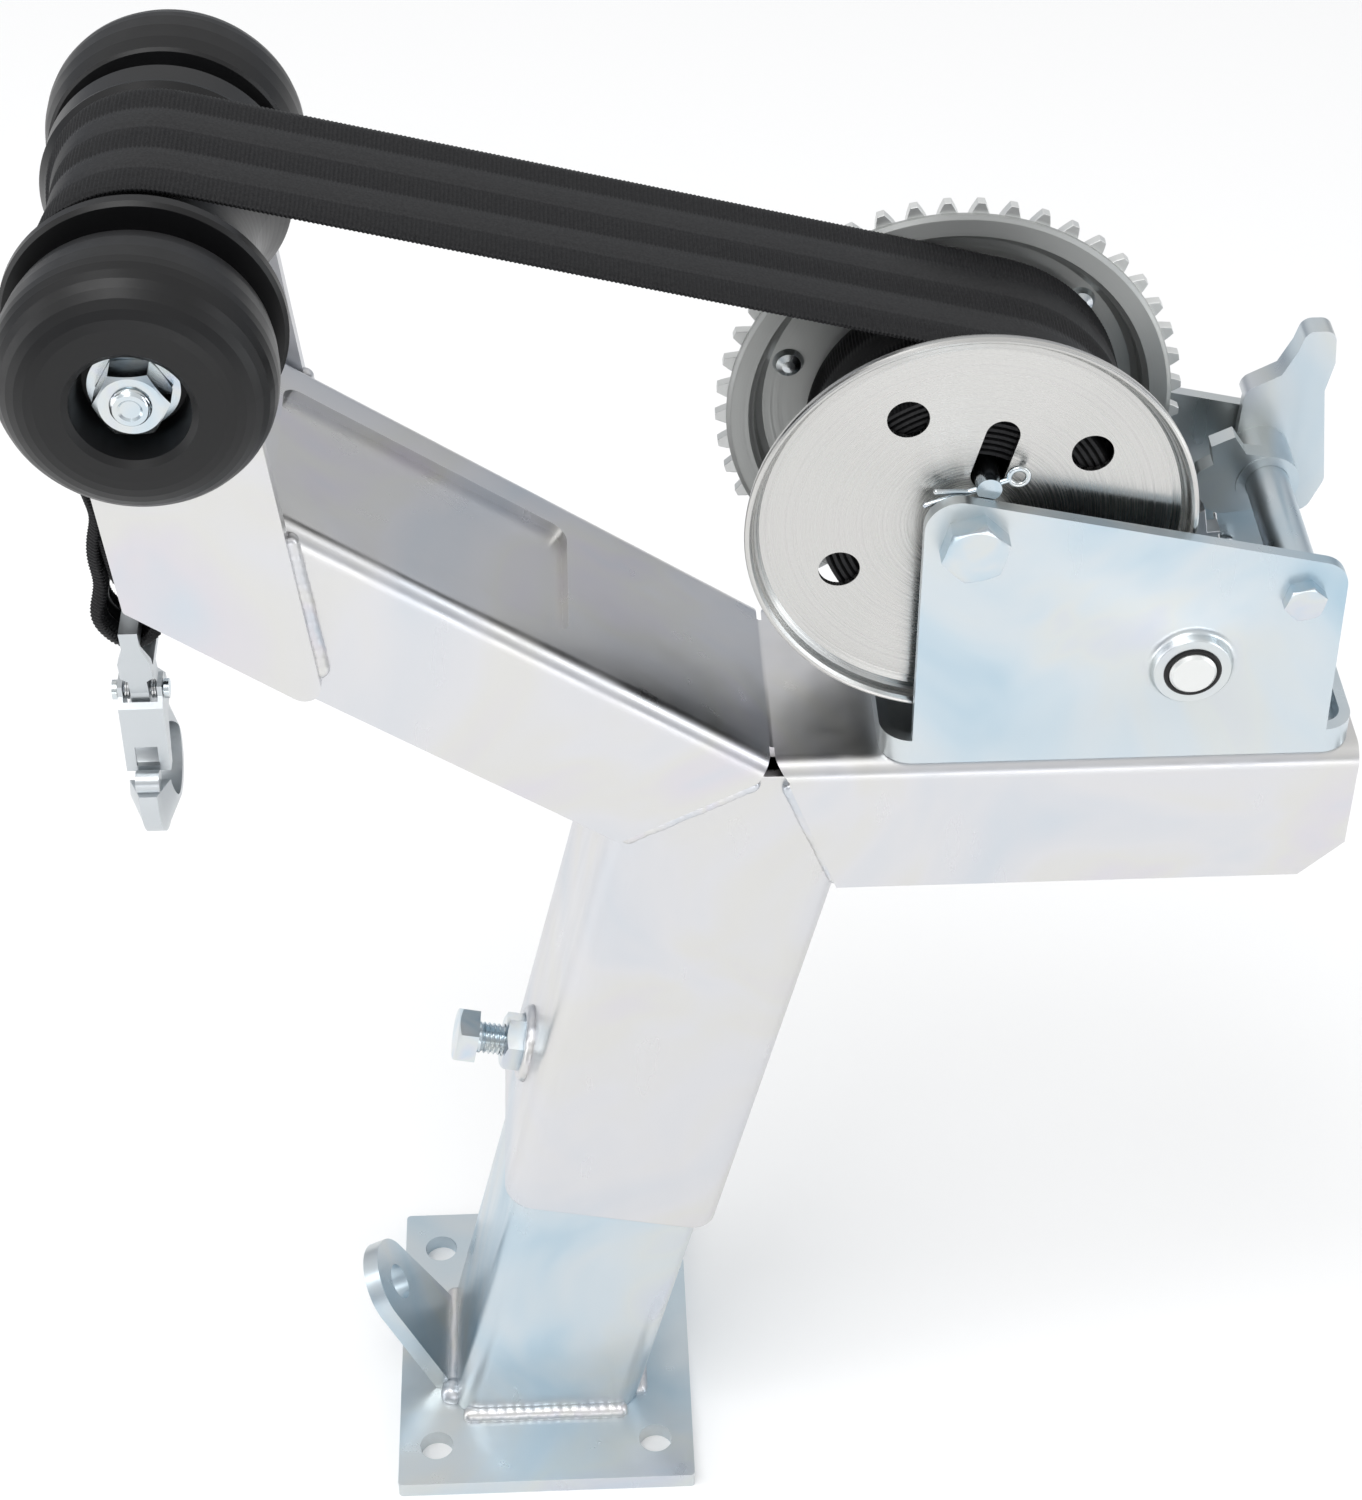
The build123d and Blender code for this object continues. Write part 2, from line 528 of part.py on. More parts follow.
def anchor_pin():
    """Pin that holds the strap's inner end."""
    x, z = polar(DRUM_X, DRUM_Z, ANCHOR_ORBIT, ANCHOR_AT)
    pin = rod(x, z, ANCHOR_R, 0.3 - PLATE_IN, REAR_WEB + FLANGE_T)
    return pin - facing(x, SPLIT_PIN_Y, z, (17, 0, 6)) * Cylinder(0.9, 30)


def anchor_split_pin():
    """Split pin through the strap pin: an eye at one end, two spread legs at the other."""
    x, z = polar(DRUM_X, DRUM_Z, ANCHOR_ORBIT, ANCHOR_AT)
    y = SPLIT_PIN_Y
    fork = (x - 5.1, y, z - 1.8)
    wire = bead(fork, (x + 5.1, y, z + 1.8), 0.85)
    wire += bead(fork, (x - 16.0, y, z - 5.65), 0.8) + bead(fork, (x - 13.5, y - 0.4, z - 1.2), 0.8)
    return wire + facing(x + 7.6, y, z + 2.7, (0, 1, 0)) * Torus(2.5, 0.8)


def drum_axle_spacer():
    return tube(DRUM_X, DRUM_Z, SPACER_R, AXLE_R + 0.1, -PLATE_IN, PLATE_IN)


def drum_axle_bolt():
    return facing(DRUM_X, -PLATE_OUT, DRUM_Z, (0, -1, 0)) * bolt(AXLE_R, 86.0, 16.0, 6.4)


def drum_axle_nut():
    return facing(DRUM_X, PLATE_OUT, DRUM_Z, (0, 1, 0)) * nut(16.0, 8.0, AXLE_R + 0.03)


# ---------------------------------------------------------------- pinion, ratchet and pawl
SHAFT_Y0, SHAFT_Y1 = -42.0, 66.0
SEAT_R, SEAT_Y0, SEAT_Y1 = 6.0, 38.5, 52.5    # where a crank handle's boss sits
END_R, FLATS_HALF = 5.0, 4.0
COLLAR_R, COLLAR_BORE, COLLAR_FRONT = 10.8, 7.8, -40.5
BUSH_SEAT_R, SEAL_BACK = 9.0, -39.4


def pinion_shaft():
    """Shaft with its integral pinion, a crank seat at the rear and a flatted end beyond it."""
    shaft = rod(PINION_X, PINION_Z, SHAFT_R, SHAFT_Y0, SEAT_Y0)
    shaft = chamfer(shaft.edges().filter_by(GeomType.CIRCLE).sort_by(Axis.Y)[0], 0.8)
    outline = involute_outline(PINION_TEETH, PINION_BEARING + 180 + 180 / PINION_TEETH)
    shaft += slab(Pos(PINION_X, PINION_Z) * outline, GEAR_Y0 + 0.2, PLATE_IN - 0.3)
    shaft += rod(PINION_X, PINION_Z, SEAT_R, SEAT_Y0, SEAT_Y1)
    end = rod(PINION_X, PINION_Z, END_R, SEAT_Y1, SHAFT_Y1)
    end = chamfer(end.edges().filter_by(GeomType.CIRCLE).sort_by(Axis.Y)[-1], 0.8)
    for side in (-1, 1):
        end -= Pos(PINION_X, SHAFT_Y1, PINION_Z + side * (FLATS_HALF + 5)) * Box(30, 20, 10)
    return shaft + end


RATCHET_TEETH, RATCHET_R, RATCHET_ROOT = 12, 17.6, 14.0
RATCHET_Y0, RATCHET_Y1, RATCHET_PHASE = 14.0, 20.0, 20.0


def ratchet_wheel():
    """Saw-toothed wheel keyed to the shaft beside the pinion."""
    points = []
    for tooth in range(RATCHET_TEETH):
        centre = 360.0 * tooth / RATCHET_TEETH + RATCHET_PHASE
        points.append(polar(PINION_X, PINION_Z, RATCHET_R, centre))
        points.append(polar(PINION_X, PINION_Z, RATCHET_ROOT, centre + 4))
        points.append(polar(PINION_X, PINION_Z, RATCHET_ROOT + 0.9, centre + 14))
    wheel_blank = prism(points, RATCHET_Y0, RATCHET_Y1)
    hub = rod(PINION_X, PINION_Z, 10.5, RATCHET_Y0 - 8, RATCHET_Y0)
    return wheel_blank + hub - rod(PINION_X, PINION_Z, SHAFT_R, -60, 60)


def shaft_bush_front():
    """Plain bearing in the collar, flanged inside the plate."""
    sleeve = tube(PINION_X, PINION_Z, COLLAR_BORE, SHAFT_R + RUN, SEAL_BACK, -PLATE_IN)
    return sleeve + tube(PINION_X, PINION_Z, 10.6, SHAFT_R + RUN, -PLATE_IN, 1.2 - PLATE_IN)


def shaft_bush_rear():
    return tube(PINION_X, PINION_Z, BUSH_SEAT_R, SHAFT_R + RUN, PLATE_IN, PLATE_OUT + 0.4)


def shaft_seal():
    """Rubber ring that closes the collar round the shaft."""
    ring = [(SHAFT_R + RUN, SEAL_BACK), (COLLAR_BORE, SEAL_BACK), (COLLAR_BORE, COLLAR_FRONT - 0.2),
            (COLLAR_BORE - 0.4, COLLAR_FRONT - 0.5), (SHAFT_R + 0.4, COLLAR_FRONT - 0.5),
            (SHAFT_R + RUN, COLLAR_FRONT - 0.2)]
    return turned(ring, PINION_X, PINION_Z)


def pawl_tube():
    return tube(PAWL_X, PAWL_Z, PAWL_TUBE_R, 3.1, -PLATE_IN, PLATE_IN)


def pawl_bolt():
    return facing(PAWL_X, -PLATE_OUT, PAWL_Z, (0, -1, 0)) * bolt(3.0, 81.0, 10.0, 4.0)


def pawl_nut():
    return facing(PAWL_X, PLATE_OUT, PAWL_Z, (0, 1, 0)) * nut(10.0, 5.0, 3.02)


LEVER_Y0, LEVER_Y1 = 29.2, 32.2


def pawl_lever():
    """Thumb lever and pawl in one pressing that turns on the tube."""
    body = [(203.5, 352.0), (204.5, 371.5), (214.0, 376.5), (217.6, 384.0), (219.4, 390.4), (227.4, 390.4),
            (228.4, 380.0), (226.6, 371.0), (230.5, 341.0), (226.0, 330.0), (215.0, 331.0), (204.5, 341.0)]
    outline = rounded(body, {1: 4, 4: 3.4, 5: 3.4, 8: 5, 9: 5, 10: 5})
    plate = slab(outline, LEVER_Y0, LEVER_Y1)
    lip = [(200.0, 366.0), (204.5, 369.0), (214.6, 374.0), (219.4, 381.0), (221.4, 387.6), (232.0, 387.6),
           (232.0, 400.0), (200.0, 400.0)]
    plate += slab(outline & Polygon(*lip, align=None), LEVER_Y0, LEVER_Y1 + 4.2)
    boss = rod(PAWL_X, PAWL_Z, 8.8, RATCHET_Y0, LEVER_Y1)
    beak = [(212.0, 343.0), (204.0, 341.5), (197.5, 341.0), (194.3, 342.7), (190.8, 348.0), (190.4, 355.0),
            (194.6, 357.6), (193.4, 363.6), (199.6, 366.6), (203.4, 360.8), (210.0, 359.6)]
    arm = slab(rounded(beak, {4: 3, 5: 2}), RATCHET_Y0 + 0.4, RATCHET_Y1 - 0.4)
    return plate + boss + arm - rod(PAWL_X, PAWL_Z, PAWL_TUBE_R + RUN, -60, 60)


SPRING_X, SPRING_Z, SPRING_R, WIRE_R = 206.0, 316.0, 2.4, 0.5


def pawl_spring():
    """Small return spring: a coil on the rear plate whose wire runs up to the pawl."""
    coil = Helix(pitch=1.25, height=6.0, radius=SPRING_R)
    section = Plane(origin=coil @ 0, z_dir=coil % 0) * Circle(WIRE_R)
    spring = Plane(origin=(SPRING_X, PLATE_IN - 0.7, SPRING_Z), z_dir=(0, -1, 0)) * sweep(section, path=coil)
    y = PLATE_IN - 0.7 - 6.0
    return spring + bead((SPRING_X - SPRING_R, y, SPRING_Z), (SPRING_X - 6.0, y, SPRING_Z + 16.0), WIRE_R)


# ---------------------------------------------------------------- strap and hook
def tangent_angle(x0, z0, r0, x1, z1, r1):
    """Angle of the normal of the line that touches both circles from above."""
    dx, dz = x1 - x0, z1 - z0
    return math.atan2(dz, dx) + math.acos((r0 - r1) / math.hypot(dx, dz))


def strap_span():
    """Strap from its loose last turn on the drum, over the roller and down towards the hook."""
    roller_r = spool_radius(STRAP_Y + STRAP_W / 2) + 0.25 + STRAP_T / 2
    up = math.degrees(tangent_angle(ROLLER_X, ROLLER_Z, roller_r, DRUM_X, DRUM_Z, SPAN_R))
    turn_centre = polar(DRUM_X, DRUM_Z, SPAN_R - LAST_TURN_R, up)
    drum_wrap = CenterArc(turn_centre, LAST_TURN_R, up - LAST_TURN, LAST_TURN)
    run = Line(polar(DRUM_X, DRUM_Z, SPAN_R, up), polar(ROLLER_X, ROLLER_Z, roller_r, up))
    leave = 180 + TAIL_DRAW
    roller_wrap = CenterArc((ROLLER_X, ROLLER_Z), roller_r, up, leave - up)
    direction = math.radians(leave + 90)
    x, z = polar(ROLLER_X, ROLLER_Z, roller_r, leave)
    drop = (z - TAIL_Z) / -math.sin(direction)
    tail = Line((x, z), (x + drop * math.cos(direction), z + drop * math.sin(direction)))
    path = Wire([*drum_wrap.edges(), *run.edges(), *roller_wrap.edges(), *tail.edges()])
    path = at_y(STRAP_Y) * path
    start = path @ 0
    section = Plane(origin=start, x_dir=(0, 1, 0), z_dir=path % 0) * Rectangle(STRAP_W, STRAP_T)
    return sweep(section, path=path)


TAIL_Z, TAIL_DRAW = 366.0, 6.0                # where the tail starts to gather, and its draw-in


def strap_loop():
    """Tail of the strap, gathered and sewn round the hook's eye bar."""
    x = EYE_X + (EYE_Z - TAIL_Z) * math.tan(math.radians(TAIL_DRAW))
    wide = Polygon((STRAP_Y - STRAP_W / 2, TAIL_Z), (STRAP_Y - 11, EYE_Z + 18), (STRAP_Y - 8.4, EYE_Z - 7),
                   (STRAP_Y + 8.4, EYE_Z - 7), (STRAP_Y + 11, EYE_Z + 18), (STRAP_Y + STRAP_W / 2, TAIL_Z), align=None)
    tear = hull(disc(EYE_X, EYE_Z, 6.0), disc(EYE_X - 0.6, EYE_Z + 20, 2.2), disc(x + 0.3, TAIL_Z - 1.2, 1.2))
    bar_turning = rod(EYE_X, EYE_Z, math.sqrt(2) * EYE_BAR + 0.15, -40, 40)
    return (slab(tear, -40, 40) & side_slab(wide, x - 20, x + 20)) - bar_turning


def side_slab(sketch, x0, x1):
    """Extrude a sketch drawn in Y and Z from x0 to x1."""
    plane = Plane(origin=(x0, 0, 0), x_dir=(0, 1, 0), z_dir=(1, 0, 0))
    return extrude(plane * sketch, x1 - x0, dir=(1, 0, 0))


EYE_BAR, EYE_HALF = 2.6, 12.6
PIVOT_Y, PIVOT_Z, PIVOT_R = STRAP_Y - 4.0, EYE_Z - 23.5, 1.55
BOWL_Y, BOWL_Z, BOWL_R = STRAP_Y + 1.0, EYE_Z - 54.5, 20.0
THROAT_Y, THROAT_Z, THROAT_R = STRAP_Y - 0.5, EYE_Z - 52.0, 10.5
NOSE_Y, NOSE_Z, NOSE_R = STRAP_Y - 14.2, EYE_Z - 49.0, 3.3


def on_hook(*points):
    """Polygon from points given across and above the middle of the eye bar."""
    return Polygon(*[(STRAP_Y + y, EYE_Z + z) for y, z in points], align=None)


def front_slab(*points):
    """Extrude a polygon given in X and Z from the eye bar's middle across the whole hook."""
    return prism([(EYE_X + x, EYE_Z + z) for x, z in points], STRAP_Y - 40, STRAP_Y + 40)


def hook_upper():
    """Eye bar, legs and neck, narrow where the latch's springs sit beside it."""
    legs = on_hook((-EYE_HALF, EYE_BAR), (EYE_HALF, EYE_BAR), (8.0, -22), (-7.6, -22))
    legs -= on_hook((-10.3, -EYE_BAR), (10.3, -EYE_BAR), (6.0, -13.5), (-6.0, -13.5))
    neck = on_hook((-7.6, -16), (8, -16), (15, -40), (6, -42), (1.5, -34), (-3, -29.5), (-7.4, -27))
    bar, half, slim = EYE_BAR, HOOK_T / 2, 2.6
    right = [(bar, 3), (bar, -4), (half, -10), (half, -16), (slim, -17.5), (slim, -28.5), (half, -31), (half, -50)]
    taper = front_slab(*right, *[(-x, z) for x, z in reversed(right)])
    return side_slab(legs + neck, EYE_X - half, EYE_X + half) & taper


def hook_bowl():
    """Bowl that is wide round the throat and thin at its outer rim, with the nose on its front."""
    outline = Pos(BOWL_Y, BOWL_Z) * Circle(BOWL_R) + on_hook((4, -56), (19.5, -38), (15, -36), (5, -44))
    outline -= disc(THROAT_Y, THROAT_Z, THROAT_R)
    outline -= on_hook((-40, -51), (-8, -51), (0, -48), (3.5, -42), (1.5, -34), (-3, -29), (-40, -20))
    side = HOOK_WIDE / 2
    section = [(0, -side), (THROAT_R, -side), (BOWL_R - 0.5, -2.6), (BOWL_R + 8, -2.6), (BOWL_R + 8, 2.6),
               (BOWL_R - 0.5, 2.6), (THROAT_R, side), (0, side)]
    wedge = facing(EYE_X, BOWL_Y, BOWL_Z, (1, 0, 0)) * revolve(Plane.XZ * Polygon(*section, align=None), Axis.Z)
    half = HOOK_T / 2
    right = [(half, -30), (half, -42), (side, -48), (side, -80)]
    narrow = front_slab(*right, *[(-x, z) for x, z in reversed(right)])
    bowl = side_slab(outline, EYE_X - side, EYE_X + side) & wedge & narrow
    nose = side_slab(disc(NOSE_Y, NOSE_Z, NOSE_R), EYE_X - NOSE_R, EYE_X + NOSE_R)
    return bowl + nose


def hook_body():
    """Snap hook: bar and two legs for the strap, a neck, and a bowl open towards the front."""
    body = hook_upper() + hook_bowl()
    return body - facing(EYE_X, PIVOT_Y, PIVOT_Z, (1, 0, 0)) * Cylinder(PIVOT_R + RUN, 40)


def hook_latch():
    """Sprung gate: a sheet cap across the mouth with a cheek either side and a small window."""
    shape = on_hook((-7.4, -20.2), (-0.6, -20.2), (-0.6, -27), (-6.6, -48), (-10.6, -48), (-10.0, -26), (-7.4, -23.5))
    room = on_hook((-8.4, -15), (8, -15), (8, -51), (-9.0, -51))
    half = HOOK_T / 2 + 0.3
    latch = side_slab(shape, EYE_X - half - 1.4, EYE_X + half + 1.4) - side_slab(room, EYE_X - half, EYE_X + half)
    window = side_slab(on_hook((-14, -39.5), (-8, -39.5), (-8, -46.2), (-14, -46.2)), EYE_X - 3.2, EYE_X + 3.2)
    return latch - window - facing(EYE_X, PIVOT_Y, PIVOT_Z, (1, 0, 0)) * Cylinder(PIVOT_R + RUN, 40)


def latch_pin():
    half = HOOK_T / 2 + 3.4
    place = facing(EYE_X - half, PIVOT_Y, PIVOT_Z, (1, 0, 0))
    base = (Align.CENTER, Align.CENTER, Align.MIN)
    shank, head = Cylinder(PIVOT_R, 2 * half, align=base), Cylinder(2.8, 1.4, align=base)
    return place * (shank + head + Pos(0, 0, 2 * half - 1.4) * head)


# ---------------------------------------------------------------- export
def build():
    plate, post, lug = base_plate(), lower_post(), chain_lug()
    sleeve, channel = sleeve_tube(), head_channel()
    ears = {side: roller_ear(side) for side in (-1, 1)}
    fixed_nut = weld_nut()
    return {
        "base_plate": plate, "lower_post": post, "chain_lug": lug,
        "base_weld_beads": base_weld_beads(plate, post, lug),
        "sleeve_tube": sleeve, "head_channel": channel, "arm_doubler": arm_doubler(),
        "roller_ear_front": ears[-1], "roller_ear_rear": ears[1],
        "weld_nut": fixed_nut, "set_bolt": set_bolt(),
        "head_weld_beads": head_weld_beads(sleeve, channel, list(ears.values()), fixed_nut),
        "roller_axle_bolt": roller_axle_bolt(), "roller_axle_nut": roller_axle_nut(),
        "roller_axle_washers": roller_axle_washers(), "roller_axle_tube": roller_axle_tube(),
        "wheel_front": wheel(-1), "wheel_rear": wheel(1),
        "wheel_bush_front": wheel_bush(-1), "wheel_bush_rear": wheel_bush(1),
        "thrust_washers": thrust_washers(),
        "spool_roller": spool_roller(), "spool_bushes": spool_bushes(),
        "winch_frame": winch_frame(), "winch_mount_bolts": winch_mount_bolts(),
        "winch_mount_nuts": winch_mount_nuts(),
        "drum_flange_front": drum_flange_front(), "drum_flange_rear": drum_flange_rear(),
        "drum_hub": drum_hub(), "drive_gear": drive_gear(), "gear_rivets": gear_rivets(),
        "strap_roll": strap_roll(), "anchor_pin": anchor_pin(), "anchor_split_pin": anchor_split_pin(),
        "drum_axle_spacer": drum_axle_spacer(), "drum_axle_bolt": drum_axle_bolt(),
        "drum_axle_nut": drum_axle_nut(),
        "pinion_shaft": pinion_shaft(), "ratchet_wheel": ratchet_wheel(),
        "shaft_bush_front": shaft_bush_front(), "shaft_bush_rear": shaft_bush_rear(),
        "shaft_seal": shaft_seal(),
        "pawl_tube": pawl_tube(), "pawl_bolt": pawl_bolt(), "pawl_nut": pawl_nut(),
        "pawl_lever": pawl_lever(), "pawl_spring": pawl_spring(),
        "strap_span": strap_span(), "strap_loop": strap_loop(),
        "hook_body": hook_body(), "hook_latch": hook_latch(), "latch_pin": latch_pin(),
    }


os.makedirs("parts", exist_ok=True)
for node, shape in build().items():
    export_step(shape, f"parts/{node}.step")
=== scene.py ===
"""Looks for the boat trailer winch stand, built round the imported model, in metres and in its frame."""
import json
import math

import bmesh
import bpy
import numpy as np
from mathutils import Matrix, Vector, noise


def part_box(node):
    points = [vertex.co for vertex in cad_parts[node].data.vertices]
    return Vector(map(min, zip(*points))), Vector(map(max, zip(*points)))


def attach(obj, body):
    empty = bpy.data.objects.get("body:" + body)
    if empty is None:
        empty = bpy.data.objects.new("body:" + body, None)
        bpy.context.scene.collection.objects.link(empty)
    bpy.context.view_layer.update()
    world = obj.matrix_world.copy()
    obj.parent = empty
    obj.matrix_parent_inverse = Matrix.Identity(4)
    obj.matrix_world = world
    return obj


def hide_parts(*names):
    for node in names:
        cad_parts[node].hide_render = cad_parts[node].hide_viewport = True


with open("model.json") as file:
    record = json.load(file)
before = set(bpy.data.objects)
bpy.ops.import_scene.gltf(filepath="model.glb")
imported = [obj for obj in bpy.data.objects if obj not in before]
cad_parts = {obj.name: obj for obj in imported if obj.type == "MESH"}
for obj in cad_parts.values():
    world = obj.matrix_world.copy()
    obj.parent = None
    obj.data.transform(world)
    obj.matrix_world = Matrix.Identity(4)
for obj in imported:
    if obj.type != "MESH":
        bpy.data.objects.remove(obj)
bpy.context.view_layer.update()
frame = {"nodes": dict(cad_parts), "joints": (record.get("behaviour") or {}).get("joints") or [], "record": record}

NODES = frame["nodes"]
JOINTS = {joint["name"]: joint for joint in frame["joints"]}
MM = 0.001
FULL_TURN = 2 * math.pi
LEAN = math.radians(13)     # the post's lean away from upright
BASE_T = 6.0                # base plate, in mm
NUT_UP = 143.0              # clamp nut's height along the post, in mm


def pivot(joint):
    """Point on a joint's axis."""
    return Vector(JOINTS[joint]["pos_m"])


ROLLER, DRUM = pivot("spool_spin"), pivot("drum_spin")
PAWL, EYE, GATE = pivot("pawl_lever"), pivot("hook_swing"), pivot("gate_swing")


# ---------------------------------------------------------------- materials
class Nodes:
    """Short way to write a material's nodes."""

    def __init__(self, name):
        self.material = bpy.data.materials.new(name)
        self.material.use_nodes = True
        self.tree = self.material.node_tree
        self.shader = self.tree.nodes["Principled BSDF"]
        self.object_coords = self.add("ShaderNodeTexCoord").outputs["Object"]

    def add(self, kind, **values):
        """New node, with its settings."""
        node = self.tree.nodes.new(kind)
        for key, value in values.items():
            setattr(node, key, value)
        return node

    def link(self, source, target):
        self.tree.links.new(source, target)

    def set(self, **values):
        """Fixed values of the shader's inputs. An underscore stands for a space."""
        for key, value in values.items():
            self.shader.inputs[key.replace("_", " ")].default_value = value

    def stretch(self, scale):
        """The object's coordinates, scaled along each axis."""
        node = self.add("ShaderNodeMapping")
        node.inputs["Scale"].default_value = scale
        self.link(self.object_coords, node.inputs["Vector"])
        return node.outputs["Vector"]

    def noise(self, size, detail=2.0, source=None, rough=0.5, distortion=0.0):
        """Noise whose blobs are about size metres across."""
        node = self.add("ShaderNodeTexNoise")
        node.inputs["Scale"].default_value = 1.0 / size
        node.inputs["Detail"].default_value = detail
        node.inputs["Roughness"].default_value = rough
        node.inputs["Distortion"].default_value = distortion
        self.link(source or self.object_coords, node.inputs["Vector"])
        return node.outputs["Fac"]

    def remap(self, value, low, high, from_low=0.3, from_high=0.7):
        """A value's range, from the middle of a noise's unless it is given, brought to low and high."""
        node = self.add("ShaderNodeMapRange")
        limits = {"From Min": from_low, "From Max": from_high, "To Min": low, "To Max": high}
        for key, number in limits.items():
            node.inputs[key].default_value = number
        self.link(value, node.inputs["Value"])
        return node.outputs["Result"]

    def ramp(self, value, stops):
        """Colour ramp with a stop for each place and colour."""
        node = self.add("ShaderNodeValToRGB")
        elements = node.color_ramp.elements
        while len(elements) < len(stops):
            elements.new(0.5)
        for element, (place, colour) in zip(elements, stops):
            element.position = place
            element.color = (*colour, 1.0)
        self.link(value, node.inputs["Fac"])
        return node.outputs["Color"]

    def bump(self, height, strength, distance):
        """Relief of the given depth, at a strength between 0 and 1."""
        node = self.add("ShaderNodeBump")
        node.inputs["Strength"].default_value = strength
        node.inputs["Distance"].default_value = distance
        self.link(height, node.inputs["Height"])
        self.link(node.outputs["Normal"], self.shader.inputs["Normal"])


STREAK = 0.012                              # width of the polish streaks in zinc
DENT, DENT_DEPTH = 0.02, 0.0002             # slight unevenness of zinc-plated sheet
TURNED_LINES, TURNED_DEPTH = 1500.0, 0.00004    # scale and depth of the lathe marks in turned steel
GRAIN_DEPTH = 0.0001
YARN, YARN_DEPTH = 0.0007, 0.0001

STRAP_W = 0.049             # webbing's width
STRAP_T = 0.0016            # its thickness without the ribs
RIB = 0.0011                # from one cross rib to the next
BANDS = 5                   # bands across it, by turns with deep and fine ribs


def zinc_material(name, colours, patch, rough, bump):
    """Zinc plate: pale metal with soft blue, straw and pink clouds and a slightly uneven polish."""
    made = Nodes(name)
    made.set(Metallic=1.0)
    clouds = made.noise(patch, 3.0, distortion=0.9)
    made.link(made.ramp(clouds, colours), made.shader.inputs["Base Color"])
    streaks = made.noise(STREAK, 4.0, made.stretch((1.0, 1.0, 0.25)))
    made.link(made.remap(streaks, rough[0], rough[1]), made.shader.inputs["Roughness"])
    made.bump(made.noise(DENT, 5.0, rough=0.6), bump, DENT_DEPTH)
    return made.material


def turned_steel(name, centre, colour, rough, metallic=1.0):
    """Disc with fine marks round the drum's axis, which draw its reflections out into a fan."""
    made = Nodes(name)
    made.set(Metallic=metallic, Base_Color=(*colour, 1.0), Anisotropic=0.88)
    shift = made.add("ShaderNodeVectorMath", operation="SUBTRACT")
    shift.inputs[1].default_value = centre
    made.link(made.object_coords, shift.inputs[0])
    radial = made.add("ShaderNodeVectorMath", operation="MULTIPLY")
    radial.inputs[1].default_value = (1.0, 0.0, 1.0)
    made.link(shift.outputs["Vector"], radial.inputs[0])
    turned = made.add("ShaderNodeVectorTransform", vector_type="VECTOR",
                      convert_from="OBJECT", convert_to="WORLD")
    made.link(radial.outputs["Vector"], turned.inputs["Vector"])
    made.link(turned.outputs["Vector"], made.shader.inputs["Tangent"])
    radius = made.add("ShaderNodeVectorMath", operation="LENGTH")
    made.link(radial.outputs["Vector"], radius.inputs[0])
    rings = made.add("ShaderNodeTexNoise", noise_dimensions="1D")
    rings.inputs["Scale"].default_value = TURNED_LINES
    made.link(radius.outputs["Value"], rings.inputs["W"])
    made.link(made.remap(rings.outputs["Fac"], rough - 0.05, rough + 0.08), made.shader.inputs["Roughness"])
    made.bump(rings.outputs["Fac"], 0.12, TURNED_DEPTH)
    return made.material


def plain_material(name, colour, metallic, rough, grain=0.0, size=0.001):
    """One colour with an uneven gloss, and with a grain of the given strength and size."""
    made = Nodes(name)
    made.set(Metallic=metallic, Base_Color=(*colour, 1.0), Specular_IOR_Level=0.32)
    marks = made.noise(max(size * 8, 0.004), 3.0)
    made.link(made.remap(marks, rough - 0.04, rough + 0.04), made.shader.inputs["Roughness"])
    if grain:
        made.bump(made.noise(size, 3.0), grain, GRAIN_DEPTH)
    return made.material


def webbing_material():
    """Black webbing: the bands with fine ribs are shinier, and all have yarn-scale colour and relief."""
    made = Nodes("webbing")
    made.set(Sheen_Weight=0.03, Sheen_Roughness=0.35, Specular_IOR_Level=0.22)
    split = made.add("ShaderNodeSeparateXYZ")
    made.link(made.add("ShaderNodeUVMap").outputs["UV"], split.inputs["Vector"])
    across = made.add("ShaderNodeMath", operation="MULTIPLY")
    across.inputs[1].default_value = math.pi * BANDS / STRAP_W
    made.link(split.outputs["Y"], across.inputs[0])
    band = made.add("ShaderNodeMath", operation="SINE")
    made.link(across.outputs["Value"], band.inputs[0])
    ribbed = made.remap(band.outputs["Value"], 0.0, 1.0, -0.12, 0.12)
    yarn = made.noise(YARN, 2.0)
    tone = made.ramp(yarn, [(0.3, (0.005, 0.005, 0.006)), (0.7, (0.016, 0.016, 0.017))])
    made.link(tone, made.shader.inputs["Base Color"])
    made.link(made.remap(ribbed, 0.38, 0.62, 0.0, 1.0), made.shader.inputs["Roughness"])
    made.bump(yarn, 0.35, YARN_DEPTH)
    return made.material


